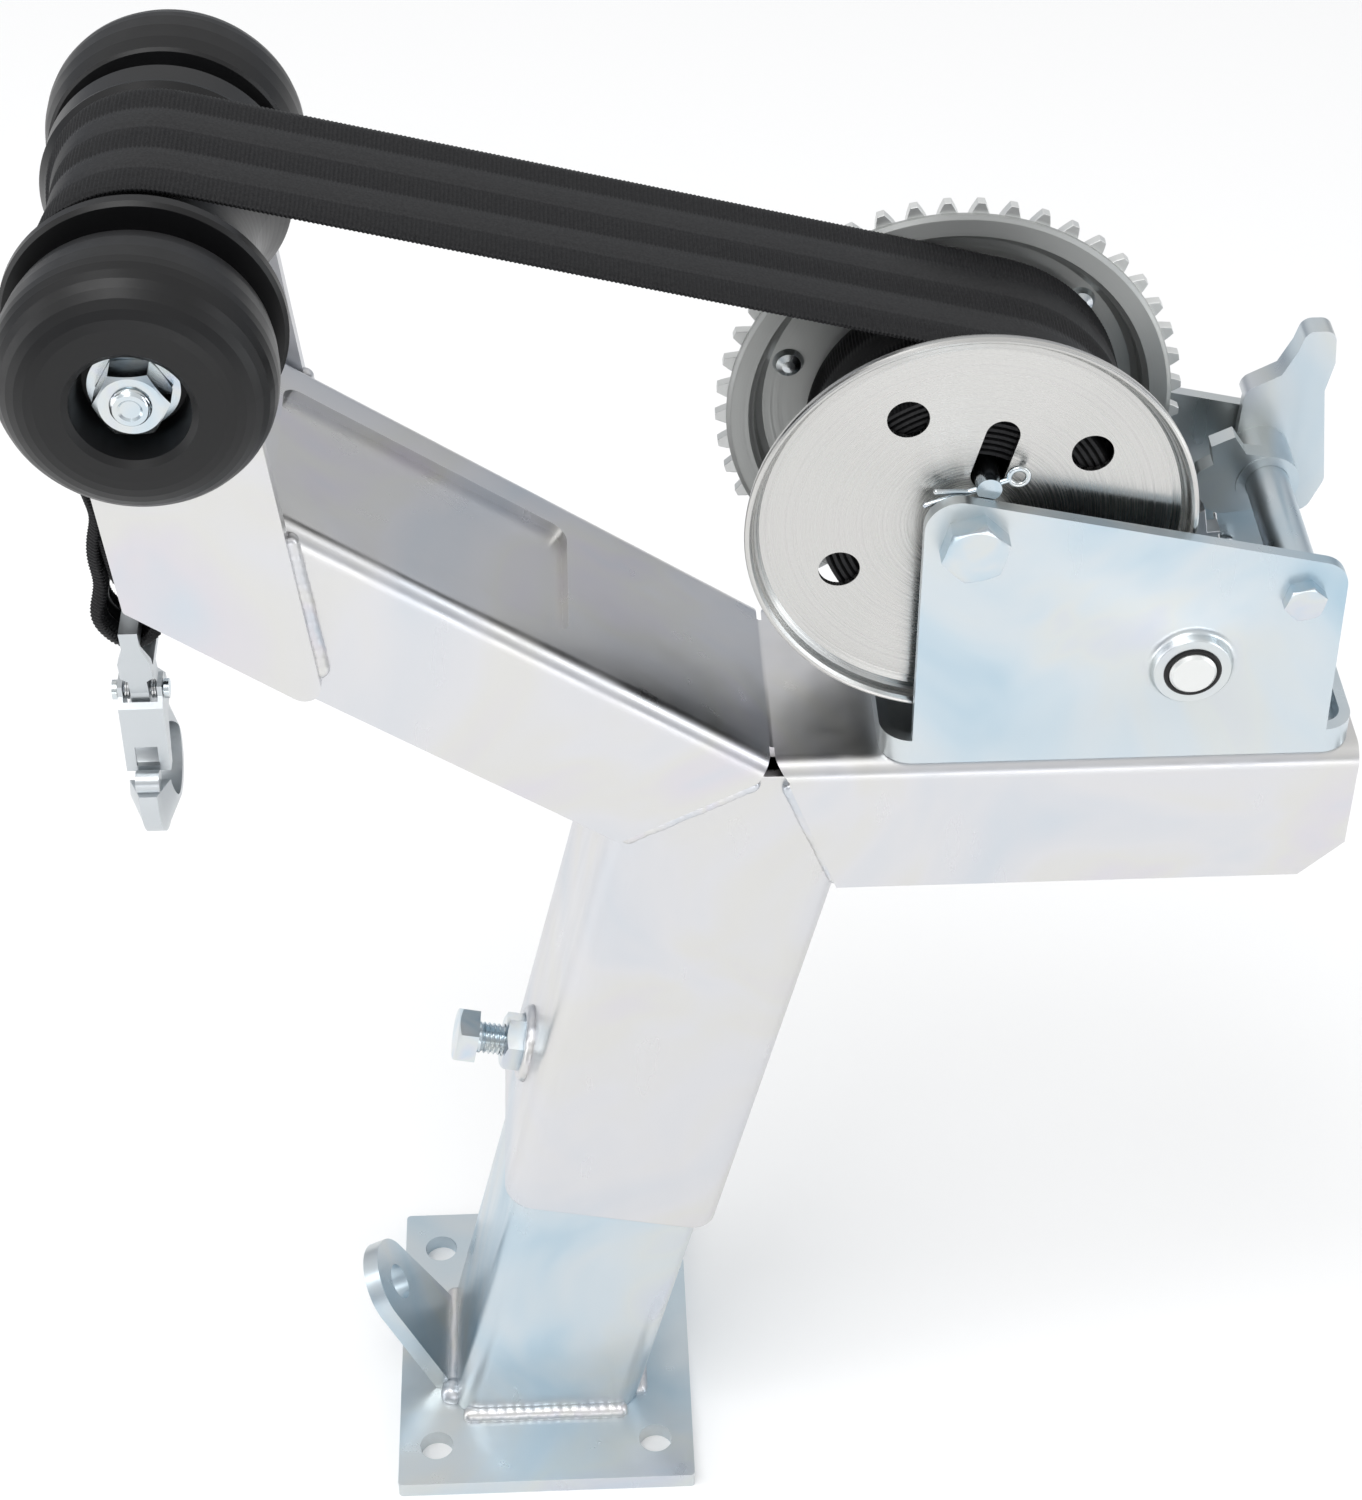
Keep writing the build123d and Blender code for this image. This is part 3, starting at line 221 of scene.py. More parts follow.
PALE_ZINC = [(0.28, (0.55, 0.60, 0.65)), (0.40, (0.615, 0.63, 0.66)), (0.50, (0.65, 0.65, 0.665)),
             (0.57, (0.65, 0.645, 0.63)), (0.64, (0.635, 0.62, 0.65)), (0.76, (0.54, 0.61, 0.67))]
BLUE_ZINC = [(0.28, (0.42, 0.55, 0.64)), (0.40, (0.53, 0.62, 0.68)), (0.50, (0.59, 0.645, 0.68)),
             (0.57, (0.62, 0.65, 0.65)), (0.64, (0.59, 0.62, 0.67)), (0.76, (0.47, 0.59, 0.68))]
MATERIALS = {
    "zinc_sheet": zinc_material("zinc_sheet", PALE_ZINC, 0.085, (0.26, 0.40), 0.08),
    "blue_sheet": zinc_material("blue_sheet", BLUE_ZINC, 0.075, (0.26, 0.40), 0.08),
    "weld": zinc_material("weld", PALE_ZINC, 0.03, (0.30, 0.44), 0.20),
    "zinc_fastener": zinc_material("zinc_fastener", BLUE_ZINC, 0.02, (0.16, 0.26), 0.05),
    "drum_steel": turned_steel("drum_steel", DRUM, (0.58, 0.575, 0.56), 0.25),
    "dull_steel": turned_steel("dull_steel", DRUM, (0.50, 0.51, 0.50), 0.40, 0.85),
    "gear_steel": plain_material("gear_steel", (0.74, 0.75, 0.74), 0.75, 0.40, 0.15, 0.002),
    "wheel_rubber": plain_material("wheel_rubber", (0.0065, 0.0065, 0.007), 0.0, 0.38, 0.10, 0.0009),
    "spool_rubber": plain_material("spool_rubber", (0.0055, 0.0055, 0.006), 0.0, 0.34, 0.06, 0.002),
    "nylon": plain_material("nylon", (0.030, 0.030, 0.032), 0.0, 0.42),
    "bush_steel": plain_material("bush_steel", (0.60, 0.62, 0.64), 1.0, 0.28),
    "spring_steel": plain_material("spring_steel", (0.62, 0.62, 0.62), 1.0, 0.24),
    "webbing": webbing_material(),
    "hook_zinc": plain_material("hook_zinc", (0.56, 0.59, 0.61), 1.0, 0.34, 0.25, 0.0015),
}


# ---------------------------------------------------------------- building pieces
def add_object(name, data):
    """New object in the scene."""
    made = bpy.data.objects.new(name, data)
    bpy.context.scene.collection.objects.link(made)
    return made


def shade(mesh, sharp):
    """Faces turned outwards and smooth, with a crisp edge where the turn is sharper than sharp degrees."""
    work = bmesh.new()
    work.from_mesh(mesh)
    bmesh.ops.recalc_face_normals(work, faces=work.faces)
    work.to_mesh(mesh)
    work.free()
    mesh.shade_smooth()
    mesh.set_sharp_from_angle(angle=math.radians(sharp))


def add_piece(name, points, faces, body, slot, sharp, uvs=None):
    """New mesh piece that rides on a body. Edges sharper than sharp degrees stay crisp."""
    mesh = bpy.data.meshes.new(name)
    mesh.from_pydata([tuple(point) for point in points], [], faces)
    if uvs is not None:
        layer = mesh.uv_layers.new(name="strip")
        for loop in mesh.loops:
            layer.data[loop.index].uv = uvs[loop.vertex_index]
    mesh.validate()
    mesh.materials.append(MATERIALS[slot])
    shade(mesh, sharp)
    piece = add_object(name, mesh)
    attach(piece, body)
    return piece


def grid_faces(rows, columns, close_rows=False, close_columns=False):
    """Four-sided faces over a grid of points, joined end to end where asked."""
    faces = []
    for row in range(rows if close_rows else rows - 1):
        for column in range(columns if close_columns else columns - 1):
            after, beside = (row + 1) % rows, (column + 1) % columns
            faces.append((row * columns + column, after * columns + column, after * columns + beside,
                          row * columns + beside))
    return faces


def skin(name, rings, body, slot, sharp, closed=False):
    """Skin over equal rings of points, either joined end to end or with a flat cap at each end."""
    count = len(rings[0])
    points = [point for ring in rings for point in ring]
    faces = grid_faces(len(rings), count, close_rows=closed, close_columns=True)
    if not closed:
        faces.append(tuple(range(count)))
        faces.append(tuple(len(points) - count + index for index in range(count)))
    return add_piece(name, points, faces, body, slot, sharp)


# ---------------------------------------------------------------- strap
STRAP_Y = (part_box("strap_roll")[0][1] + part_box("strap_roll")[1][1]) / 2
COLUMNS = np.linspace(-1.0, 1.0, BANDS * 5 + 1)
RIB_STEP = RIB / 4                  # four rows of points for each rib
DEEP_RIB, FINE_RIB = 0.00020, 0.00006
BAND_GROOVE = 0.00018               # depth of the line between two bands
SCALLOP = 0.00022                   # how far the ribs show at the webbing's edges
EDGE_HALF_T = STRAP_T * 0.28        # half the thickness at the webbing's edges

SPAN_R = 0.04915                    # the strap's run leaves the drum on this radius
LAST_TURN, LAST_TURN_R = math.radians(135), 0.0430
ROLL_INNER, ROLL_OUTER, ROLL_PITCH = 0.0192, 0.0392, 0.00178
ROLL_START = math.radians(-62)
SNUG_R = ROLL_OUTER + 0.0022        # radius on which the last turn lies on the roll
RIBBED_TURN = 1.1 * FULL_TURN       # the roll has ribs on this much of its outside,
INNER_STEP = math.radians(4)        # and a row of points at this angle further in

ROLLER_GAP = 0.00115                # from the roller to the strap's middle
NEAR_ROLLER = 0.034                 # the strap counts as on the roller within this radius
TAIL_DRAW, TAIL_Z = math.radians(6), 0.366
DRAWN_IN = (118.0, 176.0)           # directions round the roller, in degrees, between which the strap narrows
NARROW_ON_ROLLER, NARROW_AT_HOOK = 0.30, 0.36
GATHER = (0.035, 0.096)             # distances below the roller's axis, as are the next two
CUP_FADE = (0.004, 0.040)
HANG = (0.0, 0.02)
FOLD, FOLD_TURNS = 0.0013, 3 * math.pi
WAVE, WAVE_LENGTH, WAVE_SKEW = 0.0012, 0.007, 1.5

# Offsets in X and Z from the hook's bar, for the webbing on its way down to it and up from it.
TO_BAR = ((-0.0070, 0.024), (-0.0058, 0.015), (-0.0084, 0.006), (-0.0086, 0.002))
FROM_BAR = ((0.0084, 0.001), (0.0080, 0.005), (0.0040, 0.011), (-0.0016, 0.017), (-0.0030, 0.032))
BAR_R = 0.0062


def direction(angle):
    """Unit vector in X and Z."""
    return np.array((math.cos(angle), math.sin(angle)))


def smooth(value, low, high):
    """Eased step from 0 at low to 1 at high."""
    t = np.clip((value - low) / (high - low), 0.0, 1.0)
    return t * t * (3 - 2 * t)


def spool_radius(y):
    """Radius of the hourglass roller at a distance along its axis."""
    return 0.0245 + 0.0063 * ((y + 0.002) / 0.026) ** 2


def last_turn(drum, up):
    """The loose last turn on the drum, from the wound roll to where the run leaves it."""
    centre = drum + (SPAN_R - LAST_TURN_R) * direction(up)
    line = []
    for t in np.linspace(0.0, 1.0, 60):
        point = centre + LAST_TURN_R * direction(up - LAST_TURN * (1 - t)) - drum
        snug = SNUG_R / np.hypot(*point) - 1
        line.append(drum + point * (1 + snug * (1 - smooth(t, 0.0, 0.55))))
    return line


def strap_line():
    """The strap's middle line in X and Z, from under its last turn on the drum to its sewn end."""
    drum, roller, eye = (np.array((point.x, point.z)) for point in (DRUM, ROLLER, EYE))
    roller_r = spool_radius(STRAP_Y + STRAP_W / 2) + ROLLER_GAP
    across = drum - roller
    up = math.atan2(across[1], across[0]) + math.acos((roller_r - SPAN_R) / np.hypot(*across))
    line = last_turn(drum, up)
    line += [roller + roller_r * direction(a) for a in np.linspace(up, math.pi + TAIL_DRAW, 60)]
    fall = direction(math.pi * 1.5 + TAIL_DRAW)
    tail = line[-1] + fall * (line[-1][1] - TAIL_Z) / -fall[1]
    line += [tail, tail + (-0.0018, -0.006)]
    line += [eye + offset for offset in TO_BAR]
    round_bar = np.linspace(math.pi * 1.25, math.pi * 1.75, 8)
    line += [eye + (0.0, 0.0005) + BAR_R * direction(a) for a in round_bar]
    line += [eye + offset for offset in FROM_BAR]
    return np.array(line)


def lengths_along(points):
    """Distance from the first point, along the line, to each point."""
    return np.concatenate(([0.0], np.cumsum(np.hypot(*np.diff(points, axis=0).T))))


def even_points(line, step):
    """Points step apart along a line, as a smooth curve through it."""
    along = lengths_along(line)
    places = np.linspace(0.0, along[-1], int(along[-1] / step) + 1)
    points = np.stack([np.interp(places, along, line[:, axis]) for axis in (0, 1)], axis=1)
    window = 9
    kernel = np.ones(2 * window + 1) / (2 * window + 1)
    for _ in range(3):
        padded = np.pad(points, ((window, window), (0, 0)), mode="edge")
        middle = np.stack([np.convolve(padded[:, axis], kernel, "valid") for axis in (0, 1)], axis=1)
        points[1:-1] = middle[1:-1]
    return places, points


def rib_height(places):
    """Height of the woven ribs: five bands, every other one with deep ribs, the rest with fine ones."""
    across = (COLUMNS + 1) / 2 * BANDS
    band = np.clip(across.astype(int), 0, BANDS - 1)
    groove = np.abs(across % 1.0 - 0.5) > 0.47
    turn = FULL_TURN * places[:, None] / RIB
    ribs = np.where(band % 2 == 0, DEEP_RIB * np.sin(turn), FINE_RIB * np.sin(2 * turn))
    return ribs - np.where(groove, BAND_GROOVE, 0.0)


def strip_faces(rows, columns):
    """Faces of a closed strip: its top grid, its bottom grid, and what joins them along the edges."""
    count = rows * columns
    top = grid_faces(rows, columns)
    faces = top + [tuple(count + index for index in reversed(face)) for face in top]
    for row in range(rows - 1):
        for column in (0, columns - 1):
            a = row * columns + column
            b = a + columns
            faces.append((a, b, b + count, a + count))
    for row in (0, rows - 1):
        for column in range(columns - 1):
            a = row * columns + column
            faces.append((a, a + 1, a + 1 + count, a + count))
    return faces


def webbing_piece(name, middle, places, body):
    """Closed strip with ribbed faces over a grid of middle points, rows along and columns across."""
    rows, columns = middle.shape[:2]
    normal = np.cross(np.gradient(middle, axis=1), np.gradient(middle, axis=0))
    normal /= np.linalg.norm(normal, axis=2, keepdims=True)
    height = STRAP_T / 2 + rib_height(places)
    height[:, [0, -1]] = EDGE_HALF_T
    top = middle + normal * height[:, :, None]
    bottom = middle - normal * height[:, :, None]
    points = np.concatenate((top.reshape(-1, 3), bottom.reshape(-1, 3)))
    across = (np.arange(columns) / (columns - 1))[None, :] * STRAP_W
    uvs = np.stack((np.repeat(places[:, None], columns, 1), np.repeat(across, rows, 0)), axis=2)
    uvs = uvs.reshape(-1, 2)
    faces = strip_faces(rows, columns)
    return add_piece(name, points, faces, body, "webbing", 60.0, np.concatenate((uvs, uvs)))


def strap_spread(places, line):
    """Y of each point across the strap, and how far it stands off the strap's middle line."""
    bearing = np.degrees(np.arctan2(line[:, 1] - ROLLER.z, line[:, 0] - ROLLER.x)) % 360
    near_roller = np.hypot(line[:, 0] - ROLLER.x, line[:, 1] - ROLLER.z) < NEAR_ROLLER
    left_roller = places > places[near_roller].max()
    past_top = np.where(near_roller, smooth(bearing, *DRAWN_IN), 0.0)
    past_top[left_roller] = 1.0
    drop = np.where(left_roller, ROLLER.z - line[:, 1], 0.0)
    gather = np.where(left_roller, smooth(drop, *GATHER), 0.0)
    half = STRAP_W / 2 * (1 - NARROW_ON_ROLLER * past_top - NARROW_AT_HOOK * gather)
    half = half + SCALLOP * np.sin(FULL_TURN * places / RIB)
    y = STRAP_Y + half[:, None] * COLUMNS[None, :]
    level = spool_radius(STRAP_Y + STRAP_W / 2)
    cup = past_top * (1 - smooth(drop, *CUP_FADE))
    sink = -cup[:, None] * (level - spool_radius(y))
    folds = gather[:, None] * FOLD * np.cos(FOLD_TURNS * COLUMNS[None, :])
    hang = np.where(left_roller, 1.0, 0.0) * smooth(drop, *HANG) * (1 - gather)
    wave = hang[:, None] * WAVE * np.sin(drop[:, None] / WAVE_LENGTH + WAVE_SKEW * COLUMNS[None, :])
    return y, sink + folds + wave


def add_strap():
    """Strap from the drum over the roller, drawn in on the roller's far side and gathered at the hook."""
    places, line = even_points(strap_line(), RIB_STEP)
    forward = np.gradient(line, axis=0)
    forward /= np.hypot(*forward.T)[:, None]
    outward = np.stack((forward[:, 1], -forward[:, 0]), axis=1)
    y, lift = strap_spread(places, line)
    x = line[:, 0, None] + outward[:, 0, None] * lift
    z = line[:, 1, None] + outward[:, 1, None] * lift
    strap = webbing_piece("strap", np.stack((x, y, z), axis=2), places, "mast")
    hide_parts("strap_span", "strap_loop")


def add_roll():
    """The rest of the strap, wound round the drum's hub in a close spiral, with ribs on its outer turn."""
    whole = FULL_TURN * (ROLL_OUTER - ROLL_INNER) / ROLL_PITCH
    angles = [0.0]
    while angles[-1] < whole:
        angles.append(angles[-1] + (RIB_STEP / ROLL_OUTER if angles[-1] < RIBBED_TURN else INNER_STEP))
    angles = np.array(angles)
    radius = ROLL_OUTER - ROLL_PITCH * angles / FULL_TURN
    x = DRUM.x + radius * np.cos(ROLL_START - angles)
    z = DRUM.z + radius * np.sin(ROLL_START - angles)
    places = lengths_along(np.stack((x, z), axis=1))
    middle = np.empty((len(angles), len(COLUMNS), 3))
    middle[:, :, 0] = x[:, None]
    middle[:, :, 1] = STRAP_Y + (STRAP_W / 2 - 0.0002) * COLUMNS[None, :]
    middle[:, :, 2] = z[:, None]
    roll = webbing_piece("strap_turns", middle, places, "drum")
    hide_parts("strap_roll")


# ---------------------------------------------------------------- welds
BEAD_SIDES, BEAD_STEP = 20, 0.0004
RIPPLE = 0.0031                         # from one ripple of a bead to the next
RIPPLE_HEIGHT, UNEVENNESS = 0.045, 0.07     # as shares of the bead's radius
RIPPLE_LEAN, NUT_RIPPLE_LEAN = 0.0007, 0.0006
FOOT_LEVEL, FOOT_REACH = 6.6, 30.79     # height of the foot's beads, and half the leaning post's width, in mm
SEAM_Y, EAR_Y = 34.4, 37.8              # the head's beads, to each side of its middle plane, in mm
NUT_OUT = 0.0342                        # from the post's middle line to the sleeve's face at the nut
NUT_BEAD_R, NUT_BEAD_WIDTH, NUT_BEAD_STEPS = 0.0100, 0.0023, 180

FOOT_BEADS = (
    # name, start, end and radius, in mm
    ("front", (-25, -30.8, FOOT_LEVEL), (FOOT_REACH - 6, -30.8, FOOT_LEVEL), 3.0),
    ("rear", (-25, 30.8, FOOT_LEVEL), (FOOT_REACH - 6, 30.8, FOOT_LEVEL), 3.0),
    ("right", (FOOT_REACH + 0.8, -22, FOOT_LEVEL), (FOOT_REACH + 0.8, 22, FOOT_LEVEL), 3.0),
    ("left", (-FOOT_REACH - 0.4, -20, FOOT_LEVEL + 0.4), (-FOOT_REACH - 0.4, 20, FOOT_LEVEL + 0.4), 3.0),
    ("corner", (-FOOT_REACH - 0.6, -21.8, FOOT_LEVEL + 0.5),
     (-FOOT_REACH - 0.4, -20.8, FOOT_LEVEL + 0.5), 4.3),
)
HEAD_BEADS = (
    # name, distance from the middle plane, start and end in X and Z, and radius, in mm
    ("arm", SEAM_Y, (65.5, 288.5), (31.1, 270.5), 2.4),
    ("platform", SEAM_Y, (76.1, 286.5), (89.4, 253.0), 2.4),
    ("ear", EAR_Y, (-54.4, 378.0), (-49.8, 336.5), 2.8),
)


def frame_of(along):
    """A direction's unit vector and two square to it."""
    along = along.normalized()
    side = along.orthogonal().normalized()
    return along, side, along.cross(side)


def bead_ring(centre, side, above, radius, place, lean):
    """One ring of a weld bead: ripples like stacked coins and a slightly uneven width."""
    ring = []
    for index in range(BEAD_SIDES):
        angle = FULL_TURN * index / BEAD_SIDES
        ripple = abs(math.sin(math.pi * (place + lean * math.cos(angle)) / RIPPLE))
        uneven = noise.noise(Vector((place * 160, math.cos(angle), math.sin(angle) + radius * 900)))
        reach = radius * (0.93 + RIPPLE_HEIGHT * ripple + UNEVENNESS * uneven)
        ring.append(centre + (side * math.cos(angle) + above * math.sin(angle)) * reach)
    return ring


def weld_bead(name, start, end, radius, body):
    """Straight bead between two points given in mm, with rounded ends."""
    start, end = Vector(start) * MM, Vector(end) * MM
    radius *= MM
    along, side, above = frame_of(end - start)
    length = (end - start).length
    rings = []
    steps = int((length + 2 * radius) / BEAD_STEP)
    for step in range(1, steps):
        place = -radius + (length + 2 * radius) * step / steps
        beyond = max(0.0, -place, place - length)
        width = radius * math.sqrt(max(0.02, 1 - (beyond / radius) ** 2))
        rings.append(bead_ring(start + along * place, side, above, width, place, RIPPLE_LEAN))
    return skin(name, rings, body, "weld", 70.0)


def nut_weld():
    """Bead all round the nut that is welded on the sleeve."""
    outwards = Vector((-math.cos(LEAN), 0, math.sin(LEAN)))
    upwards = Vector((math.sin(LEAN), 0, math.cos(LEAN)))
    level = Vector((0, 1, 0))
    seat = Vector((0, 0, BASE_T * MM)) + upwards * (NUT_UP * MM) + outwards * NUT_OUT
    rings = []
    for step in range(NUT_BEAD_STEPS):
        angle = FULL_TURN * step / NUT_BEAD_STEPS
        spoke = level * math.cos(angle) + upwards * math.sin(angle)
        centre, place = seat + spoke * NUT_BEAD_R, angle * NUT_BEAD_R
        rings.append(bead_ring(centre, spoke, outwards, NUT_BEAD_WIDTH, place, NUT_RIPPLE_LEAN))
    return skin("weld_nut_bead", rings, "mast", "weld", 70.0, closed=True)


def add_welds():
    """Beads at the post's foot, along the head's seams, down the ears and round the clamp nut."""
    foot = [weld_bead("weld_foot_" + name, start, end, radius, "stand")
            for name, start, end, radius in FOOT_BEADS]
    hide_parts("base_weld_beads")
    for side, word in ((-1, "front"), (1, "rear")):
        for name, y, (start_x, start_z), (end_x, end_z), radius in HEAD_BEADS:
            start, end = (start_x, side * y, start_z), (end_x, side * y, end_z)
            weld_bead(f"weld_{name}_{word}", start, end, radius, "mast")
    nut_weld()
    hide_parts("head_weld_beads")


# ---------------------------------------------------------------- bolts
BOLT_SIDES, THREAD_STEPS = 48, 8        # points round a bolt, and rings for each turn of its thread
BOLT_ANGLES = [FULL_TURN * index / BOLT_SIDES for index in range(BOLT_SIDES)]
CHAMFER = math.radians(30)
THREAD_DEPTH = 0.55                     # as a share of the pitch
END_BEVEL, END_DIMPLE = 0.0008, 0.0005
M10, M6 = (5.0, 16.0, 6.4, 1.5), (3.0, 10.0, 4.0, 1.0)     # radius, flats, head height and pitch, in mm


def hex_reach(flats, angle):
    """Distance from a hexagon's middle to its side."""
    turn = (angle + math.pi / 6) % (math.pi / 3) - math.pi / 6
    return flats / 2 / math.cos(turn)


def even_row(height, reach):
    """A ring's height and reach, the same at every angle."""
    return [height] * BOLT_SIDES, [reach] * BOLT_SIDES


def head_rows(flats, head):
    """Rings of a hexagon head, chamfered at its corners, from the middle of its top to its seat."""
    crown = 0.95 * flats / 2
    corner = [hex_reach(flats, angle) for angle in BOLT_ANGLES]
    chamfered = [head - (reach - crown) * math.tan(CHAMFER) for reach in corner]
    rows = [even_row(head, crown * share) for share in (0.02, 0.5, 0.94, 1.0)]
    return rows + [(chamfered, corner), ([0.0] * BOLT_SIDES, corner)]


def thread_rows(radius, plain, length, pitch):
    """Rings of a helical thread, which runs in after the plain shank and is bevelled at its end."""
    rows = []
    steps = int((length - plain) / (pitch / THREAD_STEPS))
    for step in range(1, steps + 1):
        place = plain + (length - plain) * step / steps
        fade = min(1.0, (place - plain) / pitch, (length - place) / pitch + 0.35)
        bevel = max(0.0, END_BEVEL - (length - place))
        reaches = []
        for angle in BOLT_ANGLES:
            phase = (place / pitch + angle / FULL_TURN) % 1.0
            groove = THREAD_DEPTH * pitch * (1 - abs(2 * phase - 1)) * fade
            reaches.append(min(radius - bevel, radius - groove))
        rows.append(([-place] * BOLT_SIDES, reaches))
    return rows


def threaded_bolt(name, node, base, axis, length, plain, size, body):
    """Hexagon bolt with a chamfered head, and a real helical thread beyond its plain shank."""
    radius, flats, head, pitch = (value * MM for value in size)
    length, plain, base = length * MM, plain * MM, Vector(base) * MM
    axis, side, above = frame_of(Vector(axis))
    spokes = [side * math.cos(angle) + above * math.sin(angle) for angle in BOLT_ANGLES]
    rows = head_rows(flats, head) + [even_row(0.0, radius), even_row(-plain, radius)]
    rows += thread_rows(radius, plain, length, pitch)
    rows.append(even_row(-length, radius * 0.60))
    rows += [even_row(END_DIMPLE - length, reach) for reach in (radius * 0.48, 0.0003)]
    rings = [[base + axis * height + spoke * reach for height, spoke, reach in zip(heights, spokes, reaches)]
             for heights, reaches in rows]
    piece = skin(name, rings, body, "zinc_fastener", 32.0)
    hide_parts(node)


def add_bolts():
    """The four bolts that show a thread. Each starts from the face its head sits on."""
    left = Vector((-math.cos(LEAN), 0, math.sin(LEAN)))
    up = Vector((math.sin(LEAN), 0, math.cos(LEAN)))
    clamp = Vector((0, 0, BASE_T)) + up * NUT_UP + left * 50.55
    seats = ((ROLLER, 62.3), (DRUM, -37.0), (PAWL, -37.0))
    roller, drum, pawl = ((point.x / MM, y, point.z / MM) for point, y in seats)
    threaded_bolt("clamp_screw", "set_bolt", clamp, left, 20.5, 0.6, M10, "clamp_bolt")
    threaded_bolt("roller_axle_screw", "roller_axle_bolt", roller, (0, 1, 0), 134.4, 118.0, M10, "mast")
    threaded_bolt("drum_axle_screw", "drum_axle_bolt", drum, (0, -1, 0), 86.0, 74.0, M10, "mast")
    threaded_bolt("pawl_screw", "pawl_bolt", pawl, (0, -1, 0), 81.0, 73.0, M6, "mast")


# ---------------------------------------------------------------- hook springs
COIL_R, COIL_WIRE_R, COIL_TURNS = 0.0024, 0.00042, 1.8
COIL_START, COIL_END = 0.0030, 0.0044   # distance from the hook's middle
WIRE_SIDES, COIL_STEPS = 12, 28


def wire_coil(name, centre, start, end, body):
    """Close coil of spring wire round a line along X."""
    axis = Vector((1, 0, 0))
    angles = [FULL_TURN * index / WIRE_SIDES for index in range(WIRE_SIDES)]
    rings = []
    steps = int(COIL_TURNS * COIL_STEPS)
    for step in range(steps + 1):
        turned = FULL_TURN * COIL_TURNS * step / steps
        x = start + (end - start) * step / steps
        spoke = Vector((0, math.cos(turned), math.sin(turned)))
        middle = Vector((x, centre.y, centre.z)) + spoke * COIL_R
        rings.append([middle + (spoke * math.cos(angle) + axis * math.sin(angle)) * COIL_WIRE_R
                      for angle in angles])
    return skin(name, rings, body, "spring_steel", 50.0)


def add_hook_springs():
    """The latch's return spring: a short coil on its pin at each side of the neck."""
    for side, word in ((-1, "left"), (1, "right")):
        wire_coil("latch_spring_" + word, GATE, EYE.x + side * COIL_START, EYE.x + side * COIL_END, "hook")


# ---------------------------------------------------------------- CAD pieces
ROUNDED_EDGES = {           # radius in mm
    "base_plate": 0.7, "roller_ear_front": 0.7, "roller_ear_rear": 0.7, "winch_frame": 0.5,
    "head_channel": 0.5, "sleeve_tube": 0.5, "lower_post": 0.5, "pawl_lever": 0.5, "ratchet_wheel": 0.25,
    "drive_gear": 0.2, "pinion_shaft": 0.2, "hook_body": 0.8, "arm_doubler": 0.4,
}
OTHER_FINISH = {"drum_flange_rear": "dull_steel", "drum_hub": "dull_steel", "gear_rivets": "zinc_fastener"}
OTHER_FINISH.update({name: "blue_sheet" for name in (
    "winch_frame", "pawl_lever", "pawl_tube", "base_plate", "chain_lug", "lower_post", "arm_doubler")})
CRISP_EDGE, ROUND_ABOVE = math.radians(28), math.radians(40)
MERGE = 0.00001             # points nearer than this are one


def round_edges(node, width):
    """Small round on a piece's sharper edges."""
    weld = node.modifiers.new("weld", "WELD")
    weld.merge_threshold = MERGE
    bevel = node.modifiers.new("edges", "BEVEL")
    bevel.width, bevel.segments = width, 2
    bevel.limit_method, bevel.angle_limit = "ANGLE", ROUND_ABOVE
    bevel.harden_normals = True


def dress_nodes():
    """Gives each CAD node its material, smooth surfaces, and a small round on the edges of cut sheet."""
    slots = {row["node"]: row["material_slot"] for row in frame["record"]["subparts"]}
    for name, node in NODES.items():
        mesh = node.data
        mesh.materials.clear()
        mesh.materials.append(MATERIALS[OTHER_FINISH.get(name, slots[name])])
        if "custom_normal" in mesh.attributes:
            mesh.attributes.remove(mesh.attributes["custom_normal"])
        mesh.shade_smooth()
        mesh.set_sharp_from_angle(angle=CRISP_EDGE)
        if name in ROUNDED_EDGES:
            round_edges(node, ROUNDED_EDGES[name] * MM)


# ---------------------------------------------------------------- camera and studio
LENS, SENSOR_WIDTH = 80.75, 36.0
CAMERA_PLACE = (0.02023, -0.66858, 0.84513)
YAW, DOWN, ROLL = (math.radians(value) for value in (2.31, 40.58, -0.12))

FLOOR_REACH = 8
FLOOR_WHITE = (0.97, 0.97, 0.97, 1.0)
HORIZON, ZENITH = (0.42, 0.45, 0.50, 1.0), (1.0, 1.0, 1.0, 1.0)
SKY_STRENGTH = 0.86
WHITE = (1.0, 1.0, 1.0)
LIGHTS = (
    # name, place, target, size, power and colour
    ("key", (-0.5, -0.5, 1.9), (0.0, 0.0, 0.3), (1.2, 0.9), 12, WHITE),
    ("left", (-1.5, -0.3, 0.6), (0.0, 0.0, 0.3), (0.5, 1.4), 5, WHITE),
    ("right", (1.5, -0.5, 0.7), (0.0, 0.0, 0.3), (0.4, 1.4), 5, (0.95, 0.98, 1.0)),
    ("front", (0.2, -1.6, 0.3), (0.0, 0.0, 0.2), (1.6, 0.35), 3.5, WHITE),
)


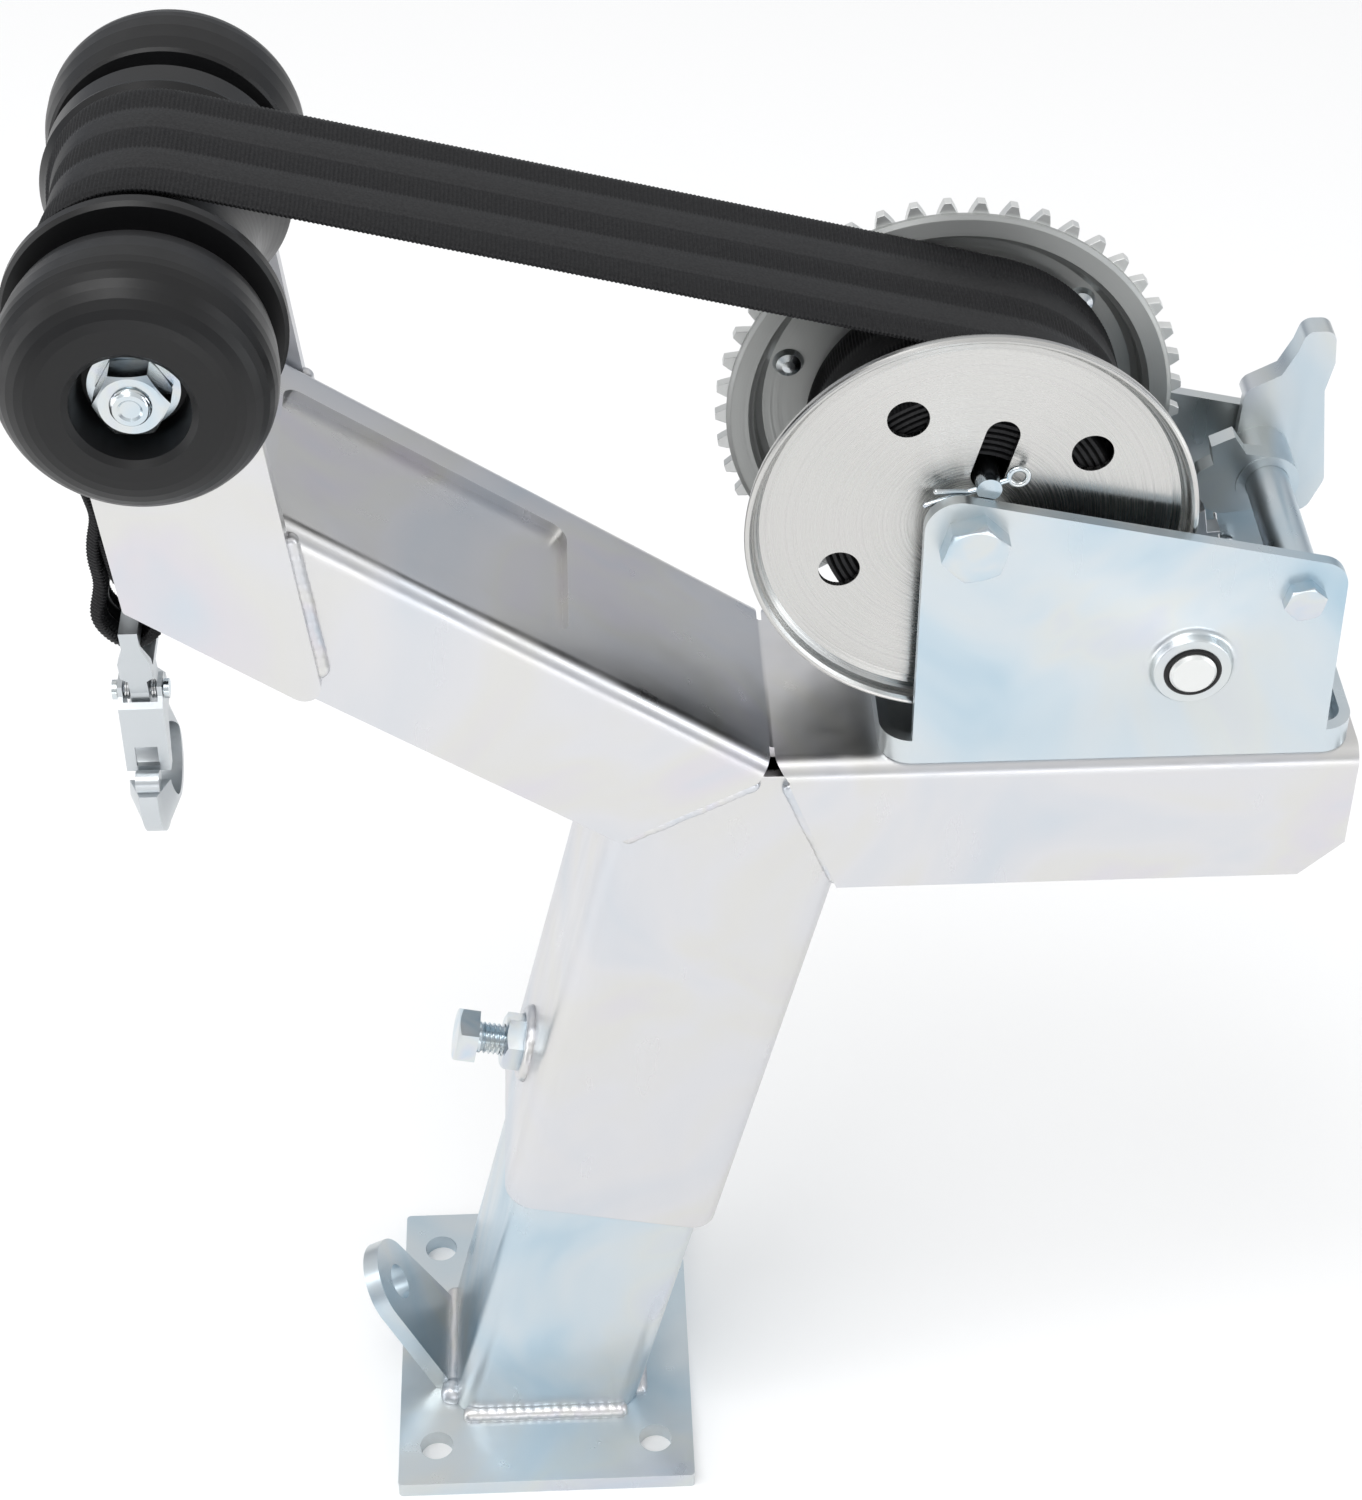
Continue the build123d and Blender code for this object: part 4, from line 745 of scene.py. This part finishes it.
def add_camera():
    """Long lens, looking down at the stand from the roller side of straight ahead."""
    data = bpy.data.cameras.new("camera")
    data.lens, data.sensor_width, data.sensor_fit = LENS, SENSOR_WIDTH, "HORIZONTAL"
    camera = add_object("camera", data)
    forward = Vector((math.sin(YAW) * math.cos(DOWN), math.cos(YAW) * math.cos(DOWN), -math.sin(DOWN)))
    level = Vector((math.cos(YAW), -math.sin(YAW), 0.0))
    right = math.cos(ROLL) * level + math.sin(ROLL) * level.cross(forward)
    turn = Matrix((right, right.cross(forward), -forward)).transposed()
    camera.matrix_world = Matrix.Translation(CAMERA_PLACE) @ turn.to_4x4()
    bpy.context.scene.camera = camera


def area_light(name, place, target, size, power, colour):
    """Rectangular light that faces a target."""
    data = bpy.data.lights.new(name, "AREA")
    data.shape, data.size, data.size_y = "RECTANGLE", size[0], size[1]
    data.energy, data.color = power, colour
    light = add_object(name, data)
    light.location = place
    light.rotation_euler = (Vector(target) - Vector(place)).to_track_quat("-Z", "Y").to_euler()


def add_floor():
    """Plain white floor, with hardly any gloss."""
    material = bpy.data.materials.new("floor")
    material.use_nodes = True
    shader = material.node_tree.nodes["Principled BSDF"]
    shader.inputs["Base Color"].default_value = FLOOR_WHITE
    shader.inputs["Roughness"].default_value = 0.9
    shader.inputs["Specular IOR Level"].default_value = 0.1
    mesh = bpy.data.meshes.new("floor")
    corners = [(x * FLOOR_REACH, y * FLOOR_REACH, 0) for x, y in ((-1, -1), (1, -1), (1, 1), (-1, 1))]
    mesh.from_pydata(corners, [], [(0, 1, 2, 3)])
    mesh.materials.append(material)
    floor = add_object("floor", mesh)


def add_sky():
    """Soft light from all round: grey at the horizon and white above."""
    world = bpy.data.worlds.new("studio")
    bpy.context.scene.world = world
    world.use_nodes = True
    tree = world.node_tree
    split = tree.nodes.new("ShaderNodeSeparateXYZ")
    tree.links.new(tree.nodes.new("ShaderNodeTexCoord").outputs["Generated"], split.inputs["Vector"])
    sky = tree.nodes.new("ShaderNodeValToRGB")
    for element, place, colour in zip(sky.color_ramp.elements, (0.02, 0.55), (HORIZON, ZENITH)):
        element.position, element.color = place, colour
    tree.links.new(split.outputs["Z"], sky.inputs["Fac"])
    tree.links.new(sky.outputs["Color"], tree.nodes["Background"].inputs["Color"])
    tree.nodes["Background"].inputs["Strength"].default_value = SKY_STRENGTH


def add_studio():
    """Plain floor, soft sky and four large lights."""
    add_floor()
    add_sky()
    for light in LIGHTS:
        area_light(*light)
    bpy.context.scene.view_settings.view_transform = "Standard"


dress_nodes()
add_strap()
add_roll()
add_welds()
add_bolts()
add_hook_springs()
add_camera()
add_studio()
